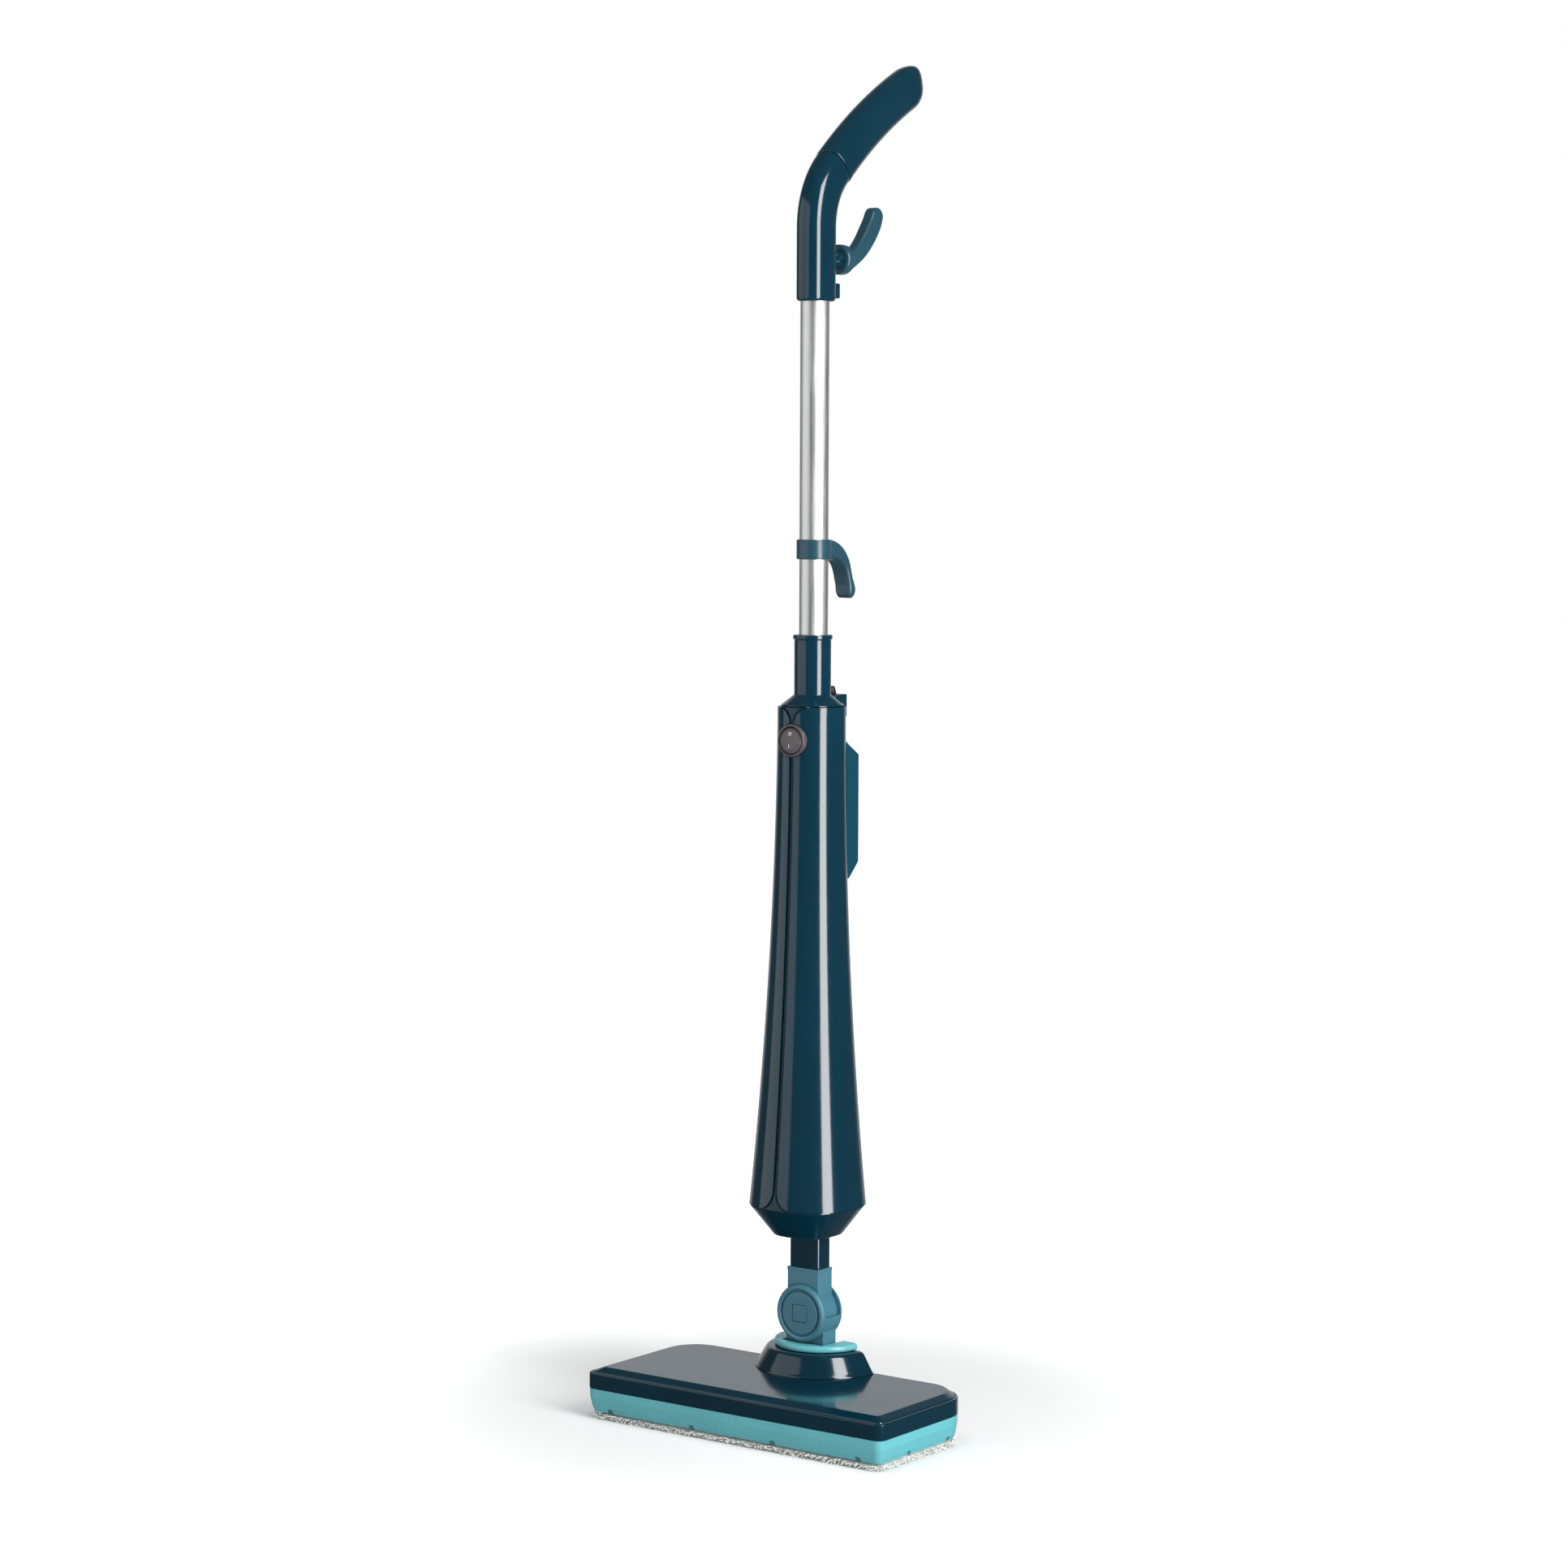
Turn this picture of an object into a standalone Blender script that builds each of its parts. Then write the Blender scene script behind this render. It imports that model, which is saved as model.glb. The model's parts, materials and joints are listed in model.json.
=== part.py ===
"""Upright steam mop: hinged foot with a cloth pad, tapered boiler body, pole and curved handle.

Lengths are written in millimetres and become metres in the mesh helpers, through MM.
+Z is up, +X is the foot's right, and -Y is the front. The user stands on the +Y side.
The origin is on the floor, under the pole's axis.
"""

import math

import bmesh
import bpy
from mathutils import Matrix, Vector

MM = 0.001
GAP = 0.3
ROUND = 32

# Foot
FOOT_HALF = 157.5
FOOT_FRONT = -117.0
FOOT_REAR = 21.0
FRONT_CORNER = 8.0
REAR_CORNER = 34.0
PAD_TOP = 6.0
SKIRT_TOP = 26.8
COVER_LOW = 27.1
LEDGE_Z = 41.2
DECK_Z = 45.1
NOTCH_X = (-132.0, -43.0, 43.0, 132.0)
NOTCH_Y = (-72.0, -14.0)

# Dome over the foot's pitch hinge
DOME_CENTRE_Y = 17.0
DOME_REAR = 16.8
DOME_BASE_R = 58.5
DOME_TOP_R = 46.0
DOME_LOW = DECK_Z + GAP
DOME_TOP = 63.6
CAP_R = 41.5
CAP_TOP = 69.8
SLOT_FRONT = -13.0
SLOT_HALF_FRONT = 21.4
SLOT_HALF_REAR = 26.0
PITCH_Z = 57.5
PITCH_PIN_R = 3.0
RUNNING = 0.1

# Side-tilt joint
TILT_Z = 96.0
DISC_R = 25.3
DRUM_R = 22.5
CUP_TOP = 94.0
TILT_PIN_R = 4.0
BLOCK_HALF = 16.7
BLOCK_FRONT = -11.6
BLOCK_REAR = 9.2
BLOCK_TOP = 135.2
LOWER_HALF = 20.3
LOWER_FRONT = -8.2
LOWER_REAR = 10.2
CHEEK_REAR = 12.6

# Body
NECK_HALF_X = 16.0
NECK_HALF_Y = 10.5
NECK_Y = -1.0
CONE_LOW = 164.4
CONE_R = 26.7
CONE_LOW_POWER = 3.0
CONE_HIGH_POWER = 2.3
BODY_LOW = 192.0
BODY_TOP = 625.0
BODY_R_TOP = 29.1
BODY_R_GAIN = 21.1
BODY_CURVE = 1.94
SQUARENESS = 2.1
PANEL = 2.0
SPLIT_Y = 3.0
SEAM_HALF = 2.3
TOP_SWEEP = 15.0
LOW_SWEEP = 17.0
COLLAR_R = 16.0
COLLAR_RIM_R = 17.1
COLLAR_LOW = 634.0
COLLAR_TOP = 686.4

# Switch
SWITCH_Z = 596.7
SWITCH_R = 14.0
SWITCH_FACE = -32.5
ROCKER_TILT = 8.0

# Tank
TANK_HALF = 20.0
TANK_REAR = 41.5
TANK_FRONT = 12.0
TANK_LOW = 474.0
TANK_TOP = 594.0
TANK_TOP_DROP = 12.0
TANK_LOW_RISE = 14.0
TANK_CHAMFER_Y = 22.0
TANK_CAP_R = 14.5
TANK_CAP_Y = 30.0

# Pole, handle and hooks
POLE_R = 12.5
POLE_LOW = 640.0
POLE_TOP = 1012.0
HANDLE_LOW = 971.0
HANDLE_Y = 1.5
HANDLE_HALF_X = 14.4
HANDLE_HALF_Y = 18.0
HANDLE_BEND_Z = 1033.8
HANDLE_BEND_R = 69.0
HANDLE_ANGLE = 47.2
SEAM_RUN = 2.8
GRIP_R = 497.0
GRIP_HALF_X = 12.0
TIP_ROUND = 24.0
TIP_SLANT = 0.2
TIP_SLANT_RUN = 40.0
GRIP_RUN = 156.0
HOOK_Z = 1008.5
HOOK_HUB_R = 13.0
HOOK_BOSS_R = 8.7
CLIP_R = 15.0
CLIP_LOW = 751.3
CLIP_TOP = 768.2
BUTTON_HALF = 9.0
BUTTON_LOW = 974.5
BUTTON_TOP = 987.5
BUTTON_FACE = 25.0


def material(name, colour, roughness, metallic=0.0):
    made = bpy.data.materials.new(name)
    made.use_nodes = True
    shader = made.node_tree.nodes["Principled BSDF"]
    shader.inputs["Base Color"].default_value = (*colour, 1.0)
    shader.inputs["Roughness"].default_value = roughness
    shader.inputs["Metallic"].default_value = metallic
    return made


def clear_scene():
    for obj in list(bpy.data.objects):
        bpy.data.objects.remove(obj, do_unlink=True)


clear_scene()
PARTS = bpy.data.collections.new("steam_mop")
TOOLS = bpy.data.collections.new("cutters")
bpy.context.scene.collection.children.link(PARTS)
bpy.context.scene.collection.children.link(TOOLS)

GLOSS = material("deep_teal_gloss", (0.012, 0.055, 0.085), 0.12)
TEAL = material("mid_teal", (0.045, 0.13, 0.17), 0.35)
TURQUOISE = material("turquoise", (0.12, 0.42, 0.45), 0.3)
BLACK = material("black_plastic", (0.012, 0.012, 0.014), 0.4)
SMOKE = material("smoke_grey", (0.09, 0.085, 0.09), 0.2)
SATIN = material("satin_aluminium", (0.75, 0.75, 0.74), 0.3, 1.0)
STEEL = material("steel", (0.55, 0.55, 0.56), 0.3, 1.0)
FLEECE = material("white_fleece", (0.8, 0.8, 0.76), 0.95)
RUBBER = material("grey_silicone", (0.3, 0.3, 0.31), 0.7)
CLEAR = material("tinted_tank", (0.02, 0.09, 0.13), 0.1)


def shown(name, mesh, mat):
    """An object in the parts collection, or a hidden cutter when it has no material."""
    obj = bpy.data.objects.new(name, mesh)
    if mat is None:
        obj.hide_render = True
        obj.display_type = "WIRE"
        TOOLS.objects.link(obj)
    else:
        mesh.materials.append(mat)
        PARTS.objects.link(obj)
    return obj


def from_bmesh(name, bm, mat):
    bmesh.ops.recalc_face_normals(bm, faces=bm.faces)
    bmesh.ops.scale(bm, vec=(MM, MM, MM), verts=bm.verts)
    mesh = bpy.data.meshes.new(name)
    bm.to_mesh(mesh)
    bm.free()
    mesh.shade_smooth()
    mesh.set_sharp_from_angle(angle=math.radians(35))
    return shown(name, mesh, mat)


def loft(name, rings, mat):
    """A solid through closed rings that all have the same number of points."""
    bm = bmesh.new()
    rows = [[bm.verts.new(point) for point in ring] for ring in rings]
    for low, high in zip(rows, rows[1:]):
        for i in range(len(low)):
            j = (i + 1) % len(low)
            bm.faces.new((low[i], low[j], high[j], high[i]))
    bm.faces.new(rows[0])
    bm.faces.new(rows[-1])
    return from_bmesh(name, bm, mat)


def box(name, low, high, mat, bevel=0.0):
    bm = bmesh.new()
    size = [b - a for a, b in zip(low, high)]
    middle = [(a + b) / 2 for a, b in zip(low, high)]
    bmesh.ops.create_cube(bm, size=1.0)
    bmesh.ops.scale(bm, vec=size, verts=bm.verts)
    bmesh.ops.translate(bm, vec=middle, verts=bm.verts)
    obj = from_bmesh(name, bm, mat)
    if bevel:
        soften(obj, bevel)
    return obj


def rod(name, radius, start, end, mat, sides=ROUND, end_radius=None):
    """A cylinder, or a cone, from one point to another."""
    start = Vector(start)
    along = Vector(end) - start
    bm = bmesh.new()
    bmesh.ops.create_cone(
        bm,
        cap_ends=True,
        segments=sides,
        radius1=radius,
        radius2=radius if end_radius is None else end_radius,
        depth=along.length,
    )
    turn = along.to_track_quat("Z", "Y").to_matrix().to_4x4()
    place = Matrix.Translation(start + along / 2) @ turn
    bmesh.ops.transform(bm, matrix=place, verts=bm.verts)
    return from_bmesh(name, bm, mat)


def prism(name, outline, axis, low, high, mat):
    """A flat outline in the plane across an axis, pulled along that axis from low to high."""
    bm = bmesh.new()
    face = bm.faces.new([bm.verts.new(on_plane(p, axis, low)) for p in outline])
    pulled = bmesh.ops.extrude_face_region(bm, geom=[face])
    moved = [item for item in pulled["geom"] if isinstance(item, bmesh.types.BMVert)]
    step = [0.0, 0.0, 0.0]
    step[axis] = high - low
    bmesh.ops.translate(bm, vec=step, verts=moved)
    return from_bmesh(name, bm, mat)


def on_plane(point, axis, height):
    spot = list(point)
    spot.insert(axis, height)
    return spot


def turned(name, profile, centre, direction, mat, steps=ROUND):
    """A profile of (radius, height) points, top to bottom, spun about an axis through centre."""
    bm = bmesh.new()
    points = [bm.verts.new((radius * MM, 0.0, height * MM)) for radius, height in profile]
    for a, b in zip(points, points[1:]):
        bm.edges.new((a, b))
    mesh = bpy.data.meshes.new(name)
    bm.to_mesh(mesh)
    bm.free()
    obj = shown(name, mesh, mat)
    obj.location = Vector(centre) * MM
    obj.rotation_euler = Vector(direction).to_track_quat("Z", "Y").to_euler()
    screw = obj.modifiers.new("Screw", "SCREW")
    screw.steps = steps
    screw.render_steps = steps
    screw.use_merge_vertices = True
    screw.merge_threshold = 0.00001
    screw.use_smooth_shade = True
    return obj


def wire(name, points, radius, mat, resolution=3):
    """A round rod along a list of points."""
    curve = bpy.data.curves.new(name, "CURVE")
    curve.dimensions = "3D"
    curve.bevel_depth = radius * MM
    curve.bevel_resolution = resolution
    curve.use_fill_caps = True
    spline = curve.splines.new("POLY")
    spline.points.add(len(points) - 1)
    for spot, point in zip(spline.points, points):
        spot.co = (*(Vector(point) * MM), 1.0)
    curve.materials.append(mat)
    obj = bpy.data.objects.new(name, curve)
    PARTS.objects.link(obj)
    return obj


def soften(obj, width, segments=2, angle=40):
    bevel = obj.modifiers.new("Bevel", "BEVEL")
    bevel.width = width * MM
    bevel.segments = segments
    bevel.limit_method = "ANGLE"
    bevel.angle_limit = math.radians(angle)
    return obj


def boolean(target, operation, tools):
    for tool in tools:
        change = target.modifiers.new(operation.title(), "BOOLEAN")
        change.operation = operation
        change.solver = "EXACT"
        change.object = tool
    return target


def cut(target, *tools):
    return boolean(target, "DIFFERENCE", tools)


def join(target, *tools):
    return boolean(target, "UNION", tools)


def keep(target, *tools):
    return boolean(target, "INTERSECT", tools)


def arc(cx, cy, radius, start, end, count):
    """Points on an arc, from one angle in degrees to another, both ends included."""
    angles = [math.radians(start + (end - start) * i / (count - 1)) for i in range(count)]
    return [(cx + radius * math.cos(a), cy + radius * math.sin(a)) for a in angles]


def rounded_box_outline(x0, x1, y0, y1, low_r, high_r, count=5):
    """A rectangle with one corner radius at its low y side and another at its high y side."""
    return (
        arc(x1 - low_r, y0 + low_r, low_r, -90, 0, count)
        + arc(x1 - high_r, y1 - high_r, high_r, 0, 90, count)
        + arc(x0 + high_r, y1 - high_r, high_r, 90, 180, count)
        + arc(x0 + low_r, y0 + low_r, low_r, 180, 270, count)
    )


def at_height(outline, z):
    return [(x, y, z) for x, y in outline]


def foot_ring(inset, z):
    """The foot's outline, drawn in by inset at the front and sides and by a third of it behind."""
    return at_height(
        rounded_box_outline(
            -FOOT_HALF + inset,
            FOOT_HALF - inset,
            FOOT_FRONT + inset,
            FOOT_REAR - inset / 3,
            max(FRONT_CORNER - inset / 2, 3.0),
            REAR_CORNER - inset / 2,
        ),
        z,
    )


def half_round_outline(radius, rear, corner, front_count=19, corner_count=4):
    """Half a disc about DOME_CENTRE_Y with a flat rear and rounded rear corners."""
    across = rear - corner - DOME_CENTRE_Y
    corner_x = math.sqrt((radius - corner) ** 2 - across**2)
    turn = math.degrees(math.atan2(across, corner_x))
    right = arc(corner_x, rear - corner, corner, 90, turn, corner_count)
    front = arc(0.0, DOME_CENTRE_Y, radius, turn, -180 - turn, front_count)
    left = [(-x, y) for x, y in reversed(right)]
    return right[:-1] + front + left[1:]


def superellipse(half_x, half_y, centre_y, z, count=ROUND, power=SQUARENESS):
    """A closed ring between a circle and a square."""
    ring = []
    for i in range(count):
        a = 2 * math.pi * (i + 0.5) / count
        x = math.copysign(abs(math.cos(a)) ** (2 / power), math.cos(a))
        y = math.copysign(abs(math.sin(a)) ** (2 / power), math.sin(a))
        ring.append((half_x * x, centre_y + half_y * y, z))
    return ring


def body_drop(z):
    return min(max((BODY_TOP - z) / (BODY_TOP - BODY_LOW), 0.0), 1.0)


def body_radius(z):
    return BODY_R_TOP + BODY_R_GAIN * body_drop(z) ** BODY_CURVE


def body_centre(z):
    return -2.0 - 2.8 * body_drop(z)


def body_solid(name, inset, low, high, mat, levels=8):
    """The body's tapering shape, drawn in by inset, between two heights."""
    rings = []
    for i in range(levels + 1):
        z = low + (high - low) * i / levels
        radius = body_radius(z) - inset
        rings.append(superellipse(radius, radius, body_centre(z), z))
    return loft(name, rings, mat)


def space(name, low, high):
    return box(name, low, high, None)


# ---------------------------------------------------------------- foot


def make_foot():
    profile = (
        (0.0, COVER_LOW),
        (0.0, LEDGE_Z - 1.5),
        (1.0, LEDGE_Z),
        (2.2, LEDGE_Z),
        (2.4, LEDGE_Z - 0.9),
        (3.2, LEDGE_Z - 0.9),
        (3.5, LEDGE_Z + 0.4),
        (10.6, DECK_Z - 0.7),
        (12.4, DECK_Z),
    )
    cover = loft("foot_top_cover", [foot_ring(inset, z) for inset, z in profile], GLOSS)
    hollow = (
        (3.0, COVER_LOW - 1.0),
        (3.0, LEDGE_Z - 4.0),
        (13.0, DECK_Z - 3.2),
    )
    cut(cover, loft("cover_hollow", [foot_ring(i, z) for i, z in hollow], None))

    outer = ((3.8, PAD_TOP + GAP), (2.2, 11.0), (0.6, 19.0), (0.2, SKIRT_TOP))
    skirt = loft("foot_skirt", [foot_ring(i, z) for i, z in outer], TURQUOISE)
    inner = ((6.5, PAD_TOP + 3.5), (3.4, SKIRT_TOP + 1.0))
    cut(skirt, loft("skirt_hollow", [foot_ring(i, z) for i, z in inner], None))
    for i, x in enumerate(NOTCH_X):
        low = (x - 3.0, FOOT_FRONT - 2.0, PAD_TOP - 1.0)
        cut(skirt, space(f"front_notch_{i}", low, (x + 3.0, FOOT_FRONT + 7.0, PAD_TOP + 4.2)))
    for i, y in enumerate(NOTCH_Y):
        for side in (-1, 1):
            ends = sorted((side * (FOOT_HALF - 7.0), side * (FOOT_HALF + 2.0)))
            low = (ends[0], y - 3.0, PAD_TOP - 1.0)
            high = (ends[1], y + 3.0, PAD_TOP + 4.2)
            cut(skirt, space(f"side_notch_{i}_{side + 1}", low, high))
    for i, x in enumerate((-90.0, -30.0, 30.0, 90.0)):
        cut(skirt, rod(f"steam_outlet_{i}", 2.5, (x, -48.0, 0.0), (x, -48.0, 15.0), None, 16))

    box(
        "steam_manifold",
        (-105.0, -62.0, PAD_TOP + 3.8),
        (105.0, -34.0, 20.0),
        BLACK,
        1.5,
    )
    wire(
        "foot_steam_tube",
        [(0.0, -33.4, 15.0), (0.0, -22.0, 15.0), (0.0, -10.0, 18.0), (0.0, -4.0, 26.0), (0.0, -2.0, 34.0)],
        3.0,
        RUBBER,
    )

    pad_profile = (
        (8.5, 0.0),
        (6.2, 1.4),
        (5.4, 3.0),
        (6.2, 4.6),
        (8.2, PAD_TOP - 1.3),
    )
    loft("microfibre_pad", [foot_ring(i, z) for i, z in pad_profile], FLEECE)
    for place, low, high in (("front", -104.0, -84.0), ("rear", -10.0, 8.0)):
        box(
            f"loop_strip_{place}",
            (-118.0, low, PAD_TOP - 1.0),
            (118.0, high, PAD_TOP),
            BLACK,
        )
    for i, (x, y) in enumerate(((-120.0, -70.0), (120.0, -70.0), (-110.0, -16.0), (110.0, -16.0))):
        turned(
            f"foot_screw_{i + 1}",
            [(0.0, 26.0), (1.6, 26.0), (1.6, 3.4), (3.2, 3.4), (3.2, 1.0), (0.0, 1.0)],
            (x, y, 9.5),
            (0, 0, 1),
            STEEL,
            12,
        )


def half_round_solid(name, levels, rear, mat):
    rings = [at_height(half_round_outline(r, rear - back, 5.0), z) for r, back, z in levels]
    return loft(name, rings, mat)


def slot_solid(name, low, high, widen=0.0):
    outline = [
        (-SLOT_HALF_FRONT - widen, SLOT_FRONT),
        (SLOT_HALF_FRONT + widen, SLOT_FRONT),
        (SLOT_HALF_REAR + widen, DOME_REAR + 4.0),
        (-SLOT_HALF_REAR - widen, DOME_REAR + 4.0),
    ]
    return prism(name, outline, 2, low, high, None)


def make_dome():
    outer = (
        (DOME_BASE_R, 0.0, DOME_LOW),
        (DOME_BASE_R - 1.0, 0.1, DOME_LOW + 1.5),
        (DOME_TOP_R + 2.2, 0.6, DOME_TOP - 2.6),
        (DOME_TOP_R, 1.4, DOME_TOP - 0.7),
        (DOME_TOP_R - 2.5, 2.6, DOME_TOP),
    )
    dome = half_round_solid("joint_dome", outer, DOME_REAR, GLOSS)
    inner = (
        (DOME_BASE_R - 3.0, 3.0, DOME_LOW - 1.0),
        (DOME_TOP_R - 2.0, 3.5, DOME_TOP - 3.0),
    )
    cut(dome, half_round_solid("dome_hollow", inner, DOME_REAR, None))
    for side in (-1, 1):
        ends = sorted((side * 20.0, side * 30.0))
        low = (ends[0], -15.5, DOME_LOW + 0.2)
        join(dome, space(f"dome_bearing_{side + 1}", low, (ends[1], 11.0, DOME_TOP - 2.0)))
    cut(dome, slot_solid("dome_slot", DOME_LOW - 2.0, DOME_TOP + 2.0))
    hole = rod(
        "pitch_hole",
        PITCH_PIN_R + RUNNING,
        (-28.0, 0.0, PITCH_Z),
        (28.0, 0.0, PITCH_Z),
        None,
        24,
    )
    cut(dome, hole)
    rod("pitch_pin", PITCH_PIN_R, (-27.5, 0.0, PITCH_Z), (27.5, 0.0, PITCH_Z), STEEL, 24)

    rim = (
        (CAP_R - 2.0, 2.0, DOME_TOP + GAP),
        (CAP_R, 0.0, DOME_TOP + 2.4),
        (CAP_R, 0.0, CAP_TOP - 2.0),
        (CAP_R - 0.8, 0.8, CAP_TOP - 0.6),
        (CAP_R - 2.6, 2.2, CAP_TOP),
    )
    cap = half_round_solid("dome_cap_ring", rim, DOME_REAR, TURQUOISE)
    cut(cap, slot_solid("cap_slot", DOME_TOP - 2.0, CAP_TOP + 2.0))


# ---------------------------------------------------------------- yokes


def make_lower_yoke():
    yoke = prism(
        "lower_yoke",
        arc(0.0, PITCH_Z, 9.8, -170, -10, 13)
        + [(LOWER_REAR, PITCH_Z + 2.0), (LOWER_REAR, TILT_Z - 12.0)]
        + [(LOWER_FRONT, TILT_Z - 12.0), (LOWER_FRONT, PITCH_Z + 2.0)],
        0,
        -LOWER_HALF,
        LOWER_HALF,
        TEAL,
    )
    cup = rod("cup_body", DISC_R, (0, BLOCK_FRONT - GAP, TILT_Z), (0, CHEEK_REAR, TILT_Z), None, 48)
    cut(
        cup,
        rod("cup_seat", DRUM_R + 0.4, (0, -20, TILT_Z), (0, BLOCK_REAR + GAP, TILT_Z), None, 48),
        space("cup_mouth", (-30, -20, CUP_TOP), (30, BLOCK_REAR + GAP, TILT_Z + 30)),
    )
    join(yoke, cup)
    cut(
        yoke,
        rod("yoke_seat", DRUM_R + 0.4, (0, -20, TILT_Z), (0, BLOCK_REAR + GAP, TILT_Z), None, 48),
        rod("yoke_pitch_hole", PITCH_PIN_R + RUNNING, (-30, 0, PITCH_Z), (30, 0, PITCH_Z), None, 24),
        rod("yoke_pin_hole", TILT_PIN_R + GAP, (0, 5, TILT_Z), (0, 14, TILT_Z), None, 32),
    )

    turned(
        "pivot_cover",
        [
            (0.0, 4.2),
            (18.6, 4.2),
            (19.0, 2.2),
            (20.2, 2.2),
            (20.8, 4.2),
            (23.6, 4.3),
            (DISC_R, 2.2),
            (DISC_R, 0.0),
            (0.0, 0.0),
        ],
        (0.0, BLOCK_FRONT - 2 * GAP, TILT_Z),
        (0, -1, 0),
        TEAL,
        40,
    )
    cover = bpy.data.objects["pivot_cover"]
    front = BLOCK_FRONT - 2 * GAP
    seat = rounded_box_outline(-8.1, 8.1, TILT_Z - 7.9, TILT_Z + 7.9, 2.6, 2.6, 5)
    plug_deep = front - 2.0
    cut(cover, prism("plug_seat", seat, 1, front - 8.0, plug_deep, None))
    face = rounded_box_outline(-7.7, 7.7, TILT_Z - 7.5, TILT_Z + 7.5, 2.4, 2.4, 5)
    prism("pivot_plug", face, 1, front - 4.3, plug_deep - GAP, TEAL)
    cut(cover, rod("cover_pin_hole", TILT_PIN_R + GAP, (0, front - 1.6, TILT_Z), (0, 0, TILT_Z), None, 32))
    rod("tilt_pin", TILT_PIN_R, (0, front - 1.2, TILT_Z), (0, CHEEK_REAR - 1.0, TILT_Z), STEEL, 32)


def make_upper_yoke():
    yoke = box(
        "upper_yoke",
        (-BLOCK_HALF, BLOCK_FRONT, TILT_Z),
        (BLOCK_HALF, BLOCK_REAR, BLOCK_TOP),
        TEAL,
    )
    drum = rod("drum", DRUM_R, (0, BLOCK_FRONT, TILT_Z), (0, BLOCK_REAR, TILT_Z), None, 48)
    spigot = space("spigot", (-11.0, NECK_Y - 5.6, BLOCK_TOP - 3.0), (11.0, NECK_Y + 5.6, 150.0))
    join(yoke, drum, spigot)
    hole = rod("drum_hole", TILT_PIN_R + RUNNING, (0, -20, TILT_Z), (0, 20, TILT_Z), None, 32)
    steam_way = rod("yoke_steam_way", 3.6, (0, NECK_Y, 110.0), (0, NECK_Y, 152.0), None, 16)
    cut(yoke, hole, steam_way)


# ---------------------------------------------------------------- body


def make_neck_and_cone():
    def neck_outline(half_x, half_y, corner):
        return rounded_box_outline(-half_x, half_x, NECK_Y - half_y, NECK_Y + half_y, corner, corner)

    neck = prism(
        "lower_neck",
        neck_outline(NECK_HALF_X, NECK_HALF_Y, 5.0),
        2,
        BLOCK_TOP + GAP,
        184.0,
        GLOSS,
    )
    bore = neck_outline(NECK_HALF_X - 3.5, NECK_HALF_Y - 3.5, 2.0)
    cut(neck, prism("neck_bore", bore, 2, BLOCK_TOP - 5.0, 190.0, None))
    join(neck, space("neck_flange", (-20.0, -13.0, 176.0), (20.0, 11.0, 184.0)))
    cut(neck, prism("neck_bore_top", bore, 2, BLOCK_TOP - 5.0, 190.0, None))

    wide = body_radius(BODY_LOW) - 2.4
    cone = cone_solid(
        "bottom_cone",
        ((CONE_R - 3.0, CONE_LOW), (CONE_R, CONE_LOW + 0.9)),
        ((wide - 0.2, BODY_LOW - 1.6), (wide, BODY_LOW - GAP)),
    )
    inner = cone_solid(
        "cone_hollow", ((CONE_R - 2.2, CONE_LOW + 3.0),), ((wide - 3.0, BODY_LOW + 1.0),), None
    )
    cut(cone, inner)
    way = neck_outline(NECK_HALF_X + GAP, NECK_HALF_Y + GAP, 5.0)
    cut(cone, prism("cone_neck_hole", way, 2, CONE_LOW - 5.0, CONE_LOW + 8.0, None))


def cone_solid(name, low_rings, high_rings, mat=GLOSS):
    """A soft square at the bottom that becomes rounder towards the body."""
    rings = [superellipse(r, r, -3.6, z, power=CONE_LOW_POWER) for r, z in low_rings]
    rings += [superellipse(r, r, -4.8, z, power=CONE_HIGH_POWER) for r, z in high_rings]
    return loft(name, rings, mat)


def panel_outline(grow, side):
    """A side panel seen from the front: a straight inner edge that sweeps away at both ends."""
    edge = SEAM_HALF - grow
    low = BODY_LOW - 4.0
    high = BODY_TOP + 4.0
    inner = (
        [(edge + LOW_SWEEP + 4.0, low)]
        + arc(edge + LOW_SWEEP, BODY_LOW + LOW_SWEEP, LOW_SWEEP, -90, -180, 9)
        + arc(edge + TOP_SWEEP, BODY_TOP - TOP_SWEEP, TOP_SWEEP, 180, 90, 9)
        + [(edge + TOP_SWEEP + 4.0, high)]
    )
    outline = [(70.0, low)] + inner + [(70.0, high)]
    return [(side * x, z) for x, z in outline]


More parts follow.
